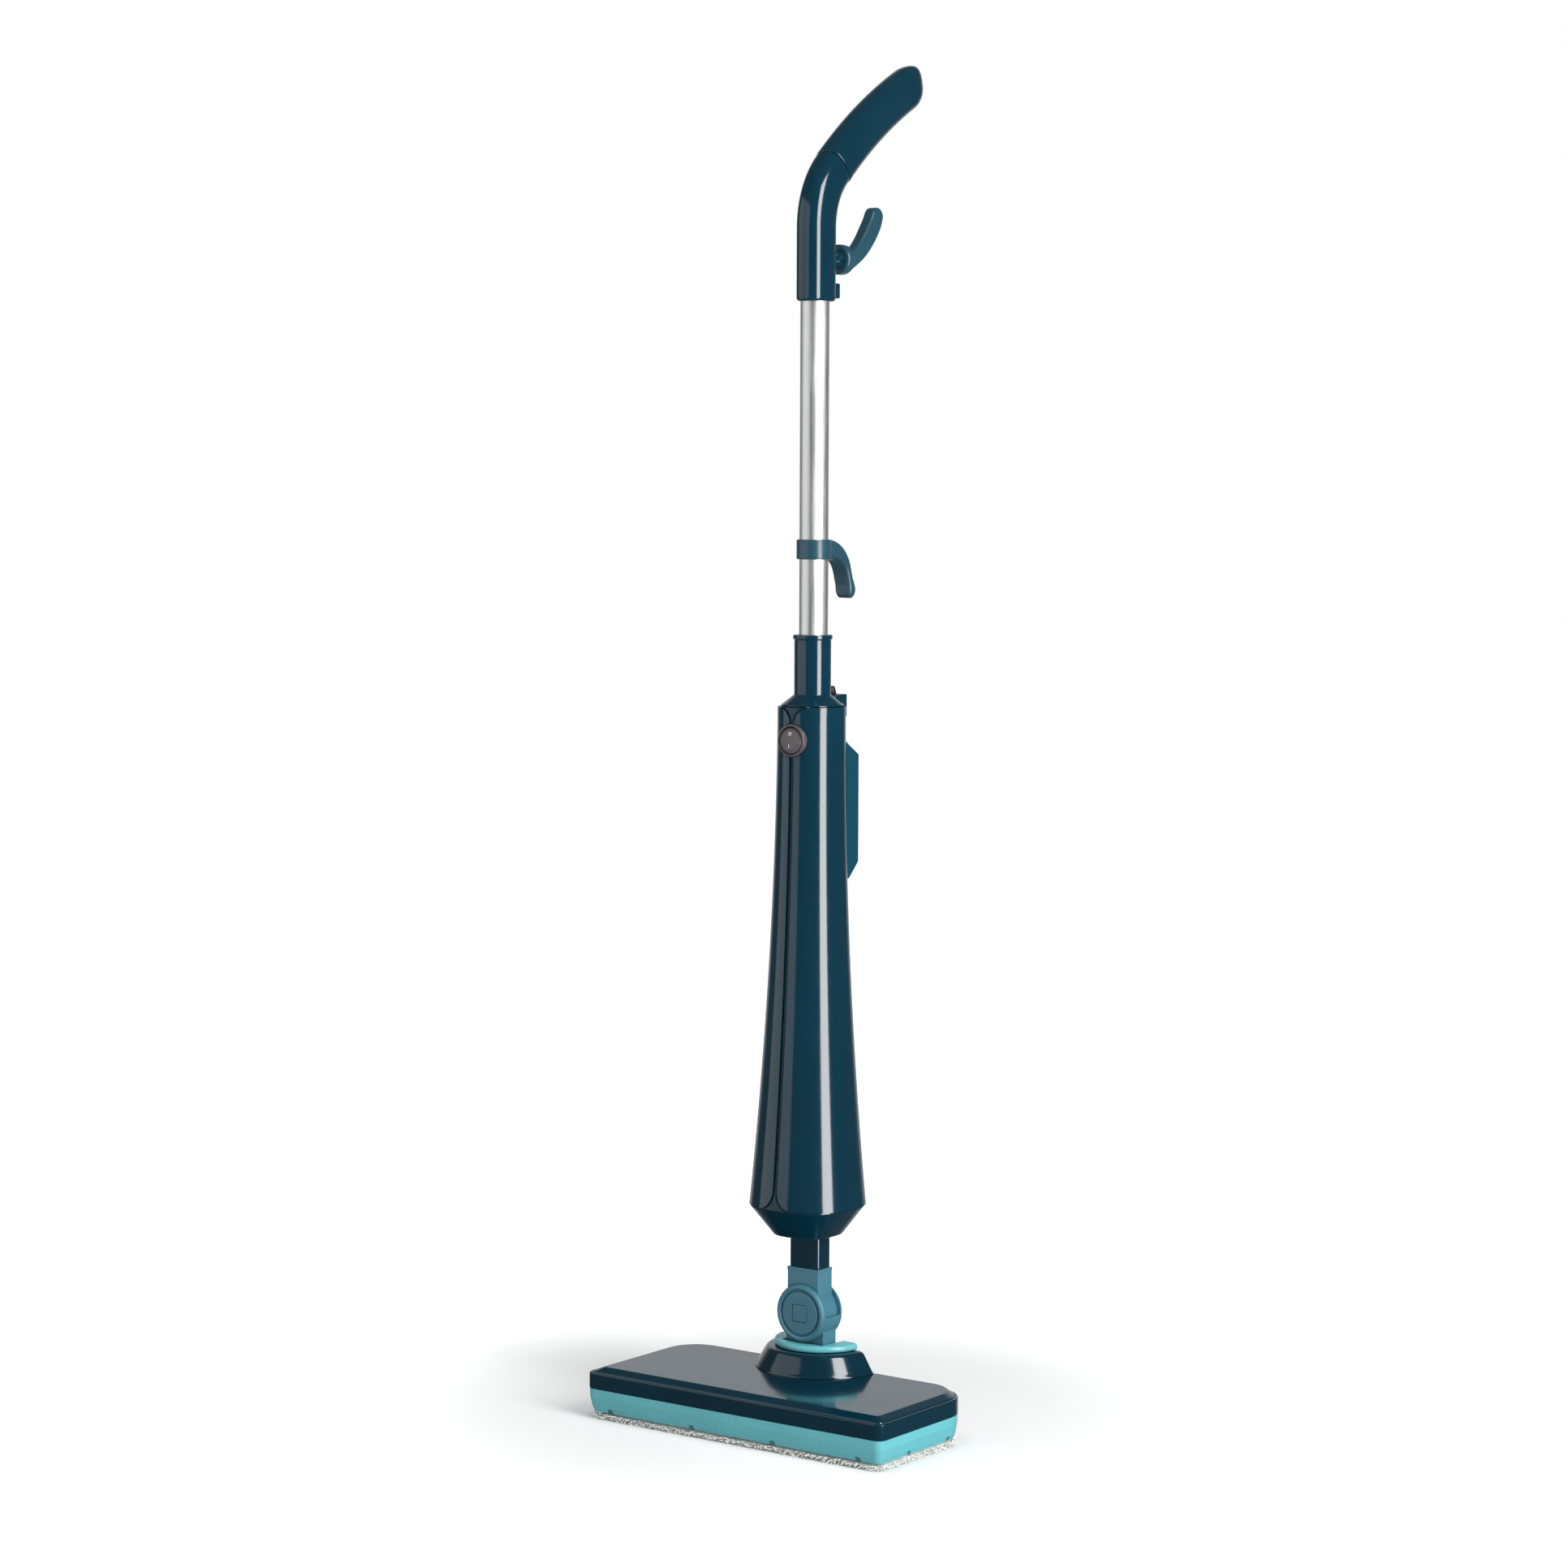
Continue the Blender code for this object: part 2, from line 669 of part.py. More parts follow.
def make_body_shells():
    switch_hole = rod(
        "switch_hole", SWITCH_R + 0.8, (0, -60, SWITCH_Z), (0, 0, SWITCH_Z), None
    )
    for name, side in (("left_panel", -1), ("right_panel", 1)):
        panel = body_solid(name, 0.0, BODY_LOW, BODY_TOP, GLOSS)
        cut(panel, body_solid(f"{name}_core", PANEL, BODY_LOW - 2.0, BODY_TOP + 2.0, None))
        keep(
            panel,
            prism(f"{name}_area", panel_outline(0.0, side), 1, -80.0, SPLIT_Y - GAP, None),
        )
        cut(panel, switch_hole)

    core = PANEL + GAP
    spine = body_solid("front_spine", core, BODY_LOW + 0.2, BODY_TOP, GLOSS)
    pads = body_solid("spine_pads", 0.6, BODY_LOW + 0.2, BODY_TOP, None)
    for side in (-1, 1):
        cut(pads, prism(f"pad_trim_{side + 1}", panel_outline(0.5, side), 1, -80.0, 80.0, None))
    cut(pads, space("pad_middle", (-4.0, -80.0, BODY_LOW + 14.0), (4.0, 80.0, BODY_TOP - 12.0)))
    join(spine, pads)
    cut(spine, body_solid("spine_core", core + 2.0, BODY_LOW - 2.0, BODY_TOP + 2.0, None))
    keep(spine, space("spine_area", (-22.0, -80.0, BODY_LOW - 3.0), (22.0, -6.0, BODY_TOP + 3.0)))
    cut(
        spine,
        rod("bezel_seat", SWITCH_R + 0.4, (0, -60, SWITCH_Z), (0, SWITCH_FACE + 5.6, SWITCH_Z), None),
        rod("switch_way", 11.8, (0, -60, SWITCH_Z), (0, 0, SWITCH_Z), None),
    )

    shell = body_solid("rear_shell", 0.0, BODY_LOW, BODY_TOP, GLOSS)
    cut(shell, body_solid("rear_core", 2.4, BODY_LOW - 2.0, BODY_TOP + 2.0, None))
    keep(shell, space("rear_area", (-70.0, SPLIT_Y, BODY_LOW - 3.0), (70.0, 80.0, BODY_TOP + 3.0)))
    bay_low = (-TANK_HALF - GAP, 6.0, TANK_LOW - GAP)
    cut(shell, space("tank_bay", bay_low, (TANK_HALF + GAP, 60.0, TANK_TOP + GAP)))
    cut(shell, space("cap_bay", (-TANK_CAP_R - 0.9, 6.0, 586.0), (TANK_CAP_R + 0.9, 60.0, 603.0)))
    cut(shell, space("cord_block_seat", (-9.4, 6.0, 606.7), (9.4, 60.0, BODY_TOP + 4.0)))


def make_collar():
    turned(
        "neck_collar",
        [
            (POLE_R + 0.3, COLLAR_TOP),
            (COLLAR_RIM_R - 0.8, COLLAR_TOP),
            (COLLAR_RIM_R, COLLAR_TOP - 0.8),
            (COLLAR_RIM_R, COLLAR_TOP - 3.4),
            (COLLAR_R, COLLAR_TOP - 4.0),
            (COLLAR_R, COLLAR_LOW + 0.8),
            (27.2, BODY_TOP + 1.2),
            (27.2, BODY_TOP + GAP),
            (POLE_R + 0.3, BODY_TOP + GAP),
            (POLE_R + 0.3, COLLAR_TOP),
        ],
        (0.0, -1.0, 0.0),
        (0, 0, 1),
        GLOSS,
        40,
    )
    collar = bpy.data.objects["neck_collar"]
    cut(collar, rod("collar_bore", POLE_R + 0.3, (0, 0, 620), (0, 0, 700), None, 40))
    cut(collar, space("collar_block_seat", (-9.4, 19.6, 620.0), (9.4, 40.0, 640.0)))


def make_cord_entry():
    block = prism(
        "cord_block",
        [(20.0, 607.0), (30.0, 607.0), (38.0, 615.0), (38.0, 634.0), (20.0, 634.0)],
        0,
        -9.0,
        9.0,
        GLOSS,
    )
    soften(block, 0.8, 2, 30)
    cut(block, rod("gland_seat", 3.8, (0, 31.0, 628.0), (0, 26.0, 640.0), None, 24))
    turned(
        "cord_gland",
        [(0.0, 12.5), (3.2, 12.5), (3.5, 11.8), (3.5, 7.5), (3.0, 7.0), (3.5, 6.4), (3.5, 0.6), (0.0, 0.6)],
        (0.0, 31.0, 628.4),
        (0, -5, 12),
        BLACK,
        24,
    )


def make_switch():
    turned(
        "switch_bezel",
        [
            (12.1, 2.6),
            (13.2, 2.9),
            (SWITCH_R, 2.2),
            (SWITCH_R, -3.2),
            (11.4, -3.2),
            (11.4, -12.0),
            (10.0, -12.0),
            (10.0, -3.0),
            (12.1, -1.5),
            (12.1, 2.6),
        ],
        (0.0, SWITCH_FACE + 2.0, SWITCH_Z),
        (0, -1, 0),
        SMOKE,
    )
    turned(
        "switch_rocker",
        [
            (0.0, 4.6),
            (5.0, 4.4),
            (9.0, 3.8),
            (10.8, 2.8),
            (11.6, 1.2),
            (11.6, 0.2),
            (9.0, -1.8),
            (0.0, -2.2),
        ],
        (0.0, SWITCH_FACE + 2.0, SWITCH_Z),
        (0, -math.cos(math.radians(ROCKER_TILT)), math.sin(math.radians(ROCKER_TILT))),
        SMOKE,
    )
    box("switch_case", (-9.0, -16.6, SWITCH_Z - 12.0), (9.0, -1.0, SWITCH_Z + 12.0), BLACK, 0.8)


def make_tank():
    def tank_profile(inset):
        slope = TANK_TOP_DROP / (TANK_REAR - TANK_CHAMFER_Y)
        return [
            (TANK_FRONT + inset, TANK_LOW + inset),
            (TANK_REAR - TANK_LOW_RISE, TANK_LOW + inset),
            (TANK_REAR - inset, TANK_LOW + TANK_LOW_RISE),
            (TANK_REAR - inset, TANK_TOP - TANK_TOP_DROP - inset * (1 - slope / 2)),
            (TANK_CHAMFER_Y, TANK_TOP - inset * 1.15),
            (TANK_FRONT + inset, TANK_TOP - inset * 1.15),
        ]

    tank = prism("water_tank", tank_profile(0.0), 0, -TANK_HALF, TANK_HALF, CLEAR)
    soften(tank, 1.6, 2, 25)
    cut(tank, prism("tank_room", tank_profile(2.2), 0, -TANK_HALF + 2.2, TANK_HALF - 2.2, None))
    slope = math.atan2(TANK_TOP_DROP, TANK_REAR - TANK_CHAMFER_Y)
    out = Vector((0.0, math.sin(slope), math.cos(slope)))
    rise = (TANK_CAP_Y - TANK_CHAMFER_Y) * math.tan(slope)
    seat = Vector((0.0, TANK_CAP_Y, TANK_TOP - rise))
    cut(tank, rod("fill_mouth", 8.5, seat - 7 * out, seat + 3 * out, None, 32))
    cut(tank, rod("tank_outlet", 3.6, (0, TANK_FRONT - 3, 486), (0, TANK_FRONT + 6, 486), None, 20))

    turned(
        "tank_cap",
        [
            (0.0, 5.4),
            (10.0, 5.1),
            (13.2, 4.2),
            (TANK_CAP_R, 2.6),
            (TANK_CAP_R, 1.6),
            (7.8, 1.6),
            (7.8, -5.0),
            (0.0, -5.0),
        ],
        seat,
        out,
        TURQUOISE,
        40,
    )
    turned(
        "cap_seal",
        [(11.4, 1.3), (11.4, 0.3), (8.9, 0.3), (8.9, 1.3), (11.4, 1.3)],
        seat,
        out,
        RUBBER,
        32,
    )
    turned(
        "tank_valve",
        [(2.4, 8.0), (3.2, 8.0), (3.2, 0.0), (5.6, 0.0), (5.6, -3.0), (2.4, -3.0), (2.4, 8.0)],
        (0.0, TANK_FRONT - 3.4 - GAP, 486.0),
        (0, 1, 0),
        RUBBER,
        20,
    )
    return seat, out


def make_inner_parts():
    boiler = rod("boiler", 27.0, (0, -6, 216), (0, -6, 336), SATIN, 24)
    soften(boiler, 4.0, 2)
    cut(boiler, rod("boiler_room", 22.0, (0, -6, 214), (0, -6, 326), None, 24))
    coil = []
    for i in range(31):
        turn = 2 * math.pi * i / 10
        coil.append((18.0 * math.cos(turn), -6 + 18.0 * math.sin(turn), 226 + 2.4 * i))
    wire("heating_element", coil, 2.6, STEEL, 1)
    rod("thermostat", 8.0, (0, -6, 336.3), (0, -6, 344.0), STEEL, 24)
    rod("thermal_fuse", 3.0, (-14, -6, 339.6), (-14, 8, 339.6), BLACK, 16)
    box("water_pump", (-13.0, -20.0, 392.0), (13.0, 6.0, 440.0), BLACK, 2.0)
    rod("pump_coil", 11.0, (0, -7, 440.3), (0, -7, 458.0), STEEL, 24)
    climb = [(0, 9.0, 433), (0, 9.6, 446), (0, 8.5, 462), (0, 2.5, 474)]
    wire(
        "inlet_hose",
        climb + [(0, 0.5, 481), (0, 2.5, 486), (0, 5.0, 486)],
        2.4,
        RUBBER,
    )
    wire(
        "boiler_hose",
        [(10, -7, 391.5), (13, -7, 380), (17, -7, 366), (18, -7, 352), (18, -7, 337)],
        2.4,
        RUBBER,
    )
    wire(
        "steam_hose",
        [(0, -4, 213.5), (0, -3, 204), (0, -1.5, 194), (0, NECK_Y, 182), (0, NECK_Y, 160), (0, NECK_Y, 122)],
        3.0,
        RUBBER,
    )
    box("terminal_block", (-11.0, -12.0, 534.0), (11.0, 2.0, 552.0), BLACK, 1.0)
    box("chassis", (-15.0, 6.3, 352.0), (15.0, 8.3, 428.0), BLACK)


# ---------------------------------------------------------------- pole, handle and hooks


def make_pole():
    pole = rod("pole", POLE_R, (0, 0, POLE_LOW), (0, 0, POLE_TOP), SATIN, 40)
    cut(pole, rod("pole_bore", POLE_R - 1.2, (0, 0, POLE_LOW - 5), (0, 0, POLE_TOP + 5), None))
    cut(pole, rod("pole_screw_hole", 2.3, (0, 8, 655), (0, 16, 655), None, 16))
    collar = bpy.data.objects["neck_collar"]
    cut(collar, rod("collar_screw_hole", 2.3, (0, 10, 655), (0, 20, 655), None, 16))
    cut(collar, rod("collar_screw_head_hole", 3.8, (0, 13.0, 655), (0, 20, 655), None, 20))
    rod("pole_screw", 2.0, (0, 9.5, 655), (0, 13.4, 655), STEEL, 16)
    head = rod("pole_screw_head", 3.4, (0, 13.3, 655), (0, 14.8, 655), None, 20)
    join(bpy.data.objects["pole_screw"], head)

    clip = rod("lower_cord_hook", CLIP_R, (0, 0, CLIP_LOW), (0, 0, CLIP_TOP), TEAL, 40)
    arm = prism(
        "clip_arm",
        [(10.0, CLIP_LOW), (10.0, CLIP_TOP), (17.0, CLIP_TOP)]
        + arc(13.0, 735.0, 33.0, 80, 12, 8)
        + [(51.5, 724.0)]
        + arc(47.5, 720.0, 4.4, 0, -180, 6)
        + [(41.5, 730.0), (39.0, 738.0), (35.5, 746.0), (30.0, 750.0), (22.0, CLIP_LOW)],
        0,
        -9.0,
        9.0,
        None,
    )
    soften(arm, 2.2, 2, 50)
    join(clip, arm)
    cut(clip, rod("clip_bore", POLE_R + 0.2, (0, 0, CLIP_LOW - 3), (0, 0, CLIP_TOP + 3), None))


STRAIGHT_RUN = HANDLE_BEND_Z - HANDLE_LOW
BEND_RUN = math.radians(HANDLE_ANGLE) * HANDLE_BEND_R
TIP_RUN = STRAIGHT_RUN + BEND_RUN + GRIP_RUN


def handle_spot(run):
    """The handle's centre and lean angle at a length along it, measured from its lower end."""
    if run <= STRAIGHT_RUN:
        return HANDLE_Y, HANDLE_LOW + run, 0.0
    turn = min(run - STRAIGHT_RUN, BEND_RUN) / HANDLE_BEND_R
    lean = turn + max(run - STRAIGHT_RUN - BEND_RUN, 0.0) / GRIP_R
    y = HANDLE_Y + HANDLE_BEND_R * (1 - math.cos(turn))
    z = HANDLE_BEND_Z + HANDLE_BEND_R * math.sin(turn)
    y += GRIP_R * (math.cos(turn) - math.cos(lean))
    z += GRIP_R * (math.sin(lean) - math.sin(turn))
    return y, z, lean


def handle_ring(run, inset):
    """The handle narrows along the grip, and its tip is cut at a slant."""
    y, z, lean = handle_spot(run)
    along = min(max((run - STRAIGHT_RUN - BEND_RUN) / GRIP_RUN, 0.0), 1.0)
    half_x = HANDLE_HALF_X + (GRIP_HALF_X - HANDLE_HALF_X) * along
    slant = TIP_SLANT * min(max((run - TIP_RUN) / TIP_SLANT_RUN + 1, 0.0), 1.0)
    ring = []
    for px, py, _ in superellipse(half_x - inset, HANDLE_HALF_Y - inset, 0.0, 0.0, 28, 2.5):
        ahead = -slant * py
        dy = py * math.cos(lean) + ahead * math.sin(lean)
        dz = ahead * math.cos(lean) - py * math.sin(lean)
        ring.append((px, y + dy, z + dz))
    return ring


def handle_solid(name, stations, mat):
    """A solid along the handle, through (length along it, inset) stations."""
    rings = [handle_ring(run, inset) for run, inset in stations]
    return loft(name, rings, mat)


def evenly(start, end, inset, count):
    return [(start + (end - start) * i / (count - 1), inset) for i in range(count)]


def make_handle():
    seam = STRAIGHT_RUN + BEND_RUN + SEAM_RUN
    outside = (
        [(0.0, 2.4), (0.8, 0.9), (2.4, 0.0), (STRAIGHT_RUN, 0.0)]
        + evenly(STRAIGHT_RUN + 8.0, seam - GAP, 0.0, 7)
        + [(seam - GAP + 0.05, 2.6), (seam + 14.0, 2.6)]
    )
    room = (
        [(-3.0, 1.6), (STRAIGHT_RUN, 1.6)]
        + evenly(STRAIGHT_RUN + 8.0, seam - 6.0, 2.2, 7)
        + [(seam - 3.0, 4.8), (seam + 18.0, 4.8)]
    )
    pocket = rod("hook_pocket", HOOK_BOSS_R + GAP, (0, 16.4, HOOK_Z), (0, 30, HOOK_Z), None, 32)
    slot = space(
        "button_slot",
        (-BUTTON_HALF - GAP, 13.0, BUTTON_LOW - GAP),
        (BUTTON_HALF + GAP, 30.0, BUTTON_TOP + GAP),
    )
    for name, side in (("handle_left_shell", -1), ("handle_right_shell", 1)):
        shell = handle_solid(name, outside, GLOSS)
        cut(shell, handle_solid(f"{name}_room", room, None))
        ends = sorted((side * 0.12, side * 40.0))
        keep(shell, space(f"{name}_side", (ends[0], -60.0, 960.0), (ends[1], 200.0, 1250.0)))
        cut(shell, pocket, slot)

    ends = TIP_RUN - TIP_ROUND
    grip = (
        [(seam, 0.0), (seam + 1.0, -0.5)]
        + evenly(seam + 6.0, ends, -0.5, 9)
        + [(ends + 9.5, 0.4), (ends + 14.5, 1.6), (ends + 18.0, 3.1)]
        + [(ends + 21.0, 5.0), (ends + 23.0, 7.1), (TIP_RUN, 10.0)]
    )
    cover = handle_solid("grip_cover", grip, GLOSS)
    inner = evenly(seam - 2.0, ends, 2.2, 7) + [(ends + 10.0, 3.4), (ends + 17.0, 6.0)]
    cut(cover, handle_solid("grip_room", inner, None))

    rod("hook_boss", HOOK_BOSS_R, (0, 16.8, HOOK_Z), (0, 31.3, HOOK_Z), GLOSS, 32)
    boss = bpy.data.objects["hook_boss"]
    cut(boss, rod("boss_screw_hole", 2.1, (0, 20, HOOK_Z), (0, 33, HOOK_Z), None, 16))


def make_upper_hook():
    hub = rod("cord_hook", HOOK_HUB_R, (0, 31.7, HOOK_Z), (0, 42.5, HOOK_Z), TEAL, 40)
    soften(hub, 1.4, 2)
    arm = prism(
        "hook_arm",
        [(36.0, 1001.0), (42.0, 996.5), (50.0, 1001.0), (64.0, 1009.0), (73.0, 1016.0)]
        + [(80.5, 1023.5), (87.0, 1031.5), (92.0, 1039.0)]
        + arc(86.5, 1047.5, 8.4, -25, 150, 9)
        + [(70.5, 1038.0), (62.0, 1026.0), (52.0, 1017.5), (36.0, 1014.0)],
        0,
        -5.5,
        5.5,
        None,
    )
    soften(arm, 1.6, 2, 50)
    join(hub, arm)
    cut(
        hub,
        rod("hub_screw_way", 2.5, (0, 30, HOOK_Z), (0, 60, HOOK_Z), None, 20),
        rod("hub_head_way", 4.4, (0, 37.0, HOOK_Z), (0, 70, HOOK_Z), None, 24),
    )
    screw = rod("hook_screw", 1.8, (0, 21.0, HOOK_Z), (0, 36.8, HOOK_Z), STEEL, 16)
    join(screw, rod("hook_screw_head", 3.9, (0, 37.3, HOOK_Z), (0, 39.6, HOOK_Z), None, 20))
    join(screw, rod("hook_screw_neck", 1.8, (0, 36.0, HOOK_Z), (0, 38.0, HOOK_Z), None, 16))


def make_release_button():
    button = box(
        "release_button",
        (-BUTTON_HALF, 16.6, BUTTON_LOW),
        (BUTTON_HALF, BUTTON_FACE, BUTTON_TOP),
        GLOSS,
    )
    soften(button, 1.4, 2)
    middle = (BUTTON_LOW + BUTTON_TOP) / 2
    turns = [
        (3.0 * math.cos(math.pi * i / 5), 13.5 + 2.6 * i / 25, middle + 3.0 * math.sin(math.pi * i / 5))
        for i in range(26)
    ]
    wire("button_spring", turns, 0.35, STEEL, 0)


# ---------------------------------------------------------------- joints

BODIES = {
    "yoke": (None, (0.0, 0.0, PITCH_Z)),
    "upright": ("yoke", (0.0, 0.0, TILT_Z)),
    "rocker": ("upright", (0.0, SWITCH_FACE + 2.0, SWITCH_Z)),
    "tank": ("upright", (0.0, TANK_REAR, (TANK_LOW + TANK_TOP) / 2)),
    "cap": ("tank", (0.0, TANK_CAP_Y, TANK_TOP - 5.0)),
    "hook": ("upright", (0.0, 31.7, HOOK_Z)),
    "button": ("upright", (0.0, BUTTON_FACE, (BUTTON_LOW + BUTTON_TOP) / 2)),
}
FOOT_NODES = (
    "foot_",
    "steam_manifold",
    "microfibre_pad",
    "loop_strip",
    "joint_dome",
    "dome_cap_ring",
    "pitch_pin",
)
RIDERS = {
    "yoke": ("lower_yoke", "pivot_cover", "pivot_plug", "tilt_pin"),
    "rocker": ("switch_rocker",),
    "tank": ("water_tank", "cap_seal"),
    "cap": ("tank_cap",),
    "hook": ("cord_hook", "hook_screw"),
    "button": ("release_button",),
}


def add_axes():
    """An empty on each joint's axis, with the pieces that the joint moves as its children."""
    axes = {}
    for body, (parent, place) in BODIES.items():
        empty = bpy.data.objects.new(f"{body}_axis", None)
        empty.matrix_world = Matrix.Translation(Vector(place) * MM)
        PARTS.objects.link(empty)
        axes[body] = empty
        if parent:
            empty.parent = axes[parent]
            empty.location = Vector(place) * MM - Vector(BODIES[parent][1]) * MM
    for obj in list(PARTS.objects):
        if obj.type == "EMPTY" or obj.name.startswith(FOOT_NODES):
            continue
        body = next((b for b, names in RIDERS.items() if obj.name in names), "upright")
        obj.parent = axes[body]
        obj.matrix_parent_inverse = Matrix.Translation(-Vector(BODIES[body][1]) * MM)


make_foot()
make_dome()
make_lower_yoke()
make_upper_yoke()
make_neck_and_cone()
make_body_shells()
make_collar()
make_cord_entry()
make_switch()
make_tank()
make_inner_parts()
make_pole()
make_handle()
make_upper_hook()
make_release_button()
add_axes()
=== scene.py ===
"""Looks of the upright steam mop: finished meshes, materials and studio round its CAD frame.

Lengths are written in millimetres, in the frame's own axes, and become metres in the mesh helpers.
"""

import json
import math
import random

import bmesh
import bpy
from mathutils import Matrix, Vector
from mathutils import noise


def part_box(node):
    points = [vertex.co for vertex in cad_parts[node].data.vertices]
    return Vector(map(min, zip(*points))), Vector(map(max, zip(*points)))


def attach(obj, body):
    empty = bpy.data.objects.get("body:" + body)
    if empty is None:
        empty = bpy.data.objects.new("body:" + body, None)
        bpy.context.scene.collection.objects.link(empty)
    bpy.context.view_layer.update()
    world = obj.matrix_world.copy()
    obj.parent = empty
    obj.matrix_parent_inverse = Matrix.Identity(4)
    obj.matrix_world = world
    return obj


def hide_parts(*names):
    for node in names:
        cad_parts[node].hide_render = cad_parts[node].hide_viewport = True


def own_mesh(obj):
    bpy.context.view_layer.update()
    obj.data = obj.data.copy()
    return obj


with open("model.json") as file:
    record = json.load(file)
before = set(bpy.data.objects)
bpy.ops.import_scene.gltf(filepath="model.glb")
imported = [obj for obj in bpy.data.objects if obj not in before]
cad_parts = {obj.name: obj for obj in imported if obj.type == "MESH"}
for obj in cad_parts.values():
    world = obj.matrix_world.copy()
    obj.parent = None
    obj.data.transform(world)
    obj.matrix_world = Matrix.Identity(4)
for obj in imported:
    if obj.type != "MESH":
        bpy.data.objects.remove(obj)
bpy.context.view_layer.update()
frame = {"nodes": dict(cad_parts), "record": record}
NODES = frame["nodes"]

MM = 0.001


def edge(node, axis, high):
    """One side of a CAD node's box, in millimetres."""
    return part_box(node)[1 if high else 0][axis] / MM


def half_width(node):
    return (edge(node, 0, True) - edge(node, 0, False)) / 2


X, Y, Z = 0, 1, 2
FOOT_HALF = half_width("foot_top_cover")
FOOT_FRONT = edge("foot_top_cover", Y, False)
FOOT_REAR = edge("foot_top_cover", Y, True)
COVER_LOW = edge("foot_top_cover", Z, False)
DECK_Z = edge("foot_top_cover", Z, True)
SKIRT_LOW = edge("foot_skirt", Z, False)
SKIRT_TOP = edge("foot_skirt", Z, True)
PAD_TOP = edge("microfibre_pad", Z, True)
DOME_LOW = edge("joint_dome", Z, False)
DOME_TOP = edge("joint_dome", Z, True)
DOME_REAR = edge("joint_dome", Y, True)
CAP_TOP = edge("dome_cap_ring", Z, True)
TILT_Z = (edge("pivot_cover", Z, False) + edge("pivot_cover", Z, True)) / 2
DISC_R = half_width("pivot_cover")
BLOCK_FRONT = edge("upper_yoke", Y, False)
BLOCK_REAR = edge("upper_yoke", Y, True)
NECK_LOW = edge("lower_neck", Z, False)
CONE_LOW = edge("bottom_cone", Z, False)
BODY_LOW = edge("left_panel", Z, False)
BODY_TOP = edge("left_panel", Z, True)
COLLAR_TOP = edge("neck_collar", Z, True)
POLE_R = half_width("pole")
SWITCH_Z = (edge("switch_bezel", Z, False) + edge("switch_bezel", Z, True)) / 2
HANDLE_LOW = edge("handle_left_shell", Z, False)
CLIP_TOP = edge("lower_cord_hook", Z, True)
CLIP_HEIGHT = 16.9
CLIP_LOW = CLIP_TOP - CLIP_HEIGHT
HOOK_Z = (edge("hook_boss", Z, False) + edge("hook_boss", Z, True)) / 2
HUB_FRONT = edge("cord_hook", Y, False)

ROUND_STEPS = 128
FRONT_CORNER = 8.0
REAR_CORNER = 34.0
RIM_DROP_Z = 40.3
LEDGE_Z = 41.2
DOME_CENTRE_Y = 17.0
NECK_SOCKET_TOP = 135.2
SPLIT_Y = 3.0
SEAM_HALF = 2.3
SPINE_HALF = 21.5
CHANNEL_HALF = 3.0
CHANNEL_MARGIN_LOW = 12.0
CHANNEL_MARGIN_TOP = 14.0
CHANNEL_RUN_OUT = 8.0
TOP_SWEEP = 15.0
LOW_SWEEP = 17.0
BODY_R_TOP = 29.1
BODY_R_GAIN = 21.1
BODY_CURVE = 1.94
SQUARENESS = 2.1
NECK_Y = -1.0
SWITCH_R = 14.0
SWITCH_FACE = -32.5
SWITCH_TILT = 8.0
CAP_OUT = (0.0, 0.524097, 0.851658)
CAP_SEAT = (0.0, 30.0, 589.077)
LOOP_HALF = 1.25
LOOP_LINE = 0.3
HANDLE_Y = 1.5
HANDLE_HALF_X = 14.4
GRIP_HALF_X = 12.0
HANDLE_HALF_Y = 18.0
HANDLE_BEND_Z = 1033.8
HANDLE_BEND_R = 69.0
HANDLE_ANGLE = 47.2
GRIP_R = 497.0
GRIP_RUN = 156.0
SEAM_RUN = 2.8
TIP_ROUND = 24.0
TIP_SLANT = 0.2
TIP_SLANT_RUN = 40.0
BUTTON_TRAVEL = 2.5
STRAIGHT_RUN = HANDLE_BEND_Z - HANDLE_LOW
BEND_RUN = math.radians(HANDLE_ANGLE) * HANDLE_BEND_R
TIP_RUN = STRAIGHT_RUN + BEND_RUN + GRIP_RUN


# ---------------------------------------------------------------- materials


def socket(tree, kind, **values):
    """A node with its input values set by name, with _ for a space."""
    node = tree.nodes.new(kind)
    for name, value in values.items():
        node.inputs[name.replace("_", " ")].default_value = value
    return node


def surface(name, colour, roughness, metallic=0.0, **more):
    """A material, its node tree, its shader and its object-space coordinates."""
    made = bpy.data.materials.new(name)
    made.use_nodes = True
    tree = made.node_tree
    shader = tree.nodes["Principled BSDF"]
    shader.inputs["Base Color"].default_value = (*colour, 1.0)
    shader.inputs["Roughness"].default_value = roughness
    shader.inputs["Metallic"].default_value = metallic
    for key, value in more.items():
        shader.inputs[key.replace("_", " ")].default_value = value
    place = tree.nodes.new("ShaderNodeTexCoord").outputs["Object"]
    return made, tree, shader, place


def noise_at(tree, place, scale, detail=3.0, rough=0.55, stretch=None):
    if stretch:
        mapping = tree.nodes.new("ShaderNodeMapping")
        mapping.inputs["Scale"].default_value = stretch
        tree.links.new(place, mapping.inputs["Vector"])
        place = mapping.outputs["Vector"]
    made = socket(tree, "ShaderNodeTexNoise", Scale=scale, Detail=detail, Roughness=rough)
    tree.links.new(place, made.inputs["Vector"])
    return made.outputs["Fac"]


def spread(tree, fac, low, high):
    """A 0..1 value mapped onto low..high, with the noise's usual range stretched to fill it."""
    made = tree.nodes.new("ShaderNodeMapRange")
    made.inputs["From Min"].default_value = 0.3
    made.inputs["From Max"].default_value = 0.7
    made.inputs["To Min"].default_value = low
    made.inputs["To Max"].default_value = high
    tree.links.new(fac, made.inputs["Value"])
    return made.outputs["Result"]


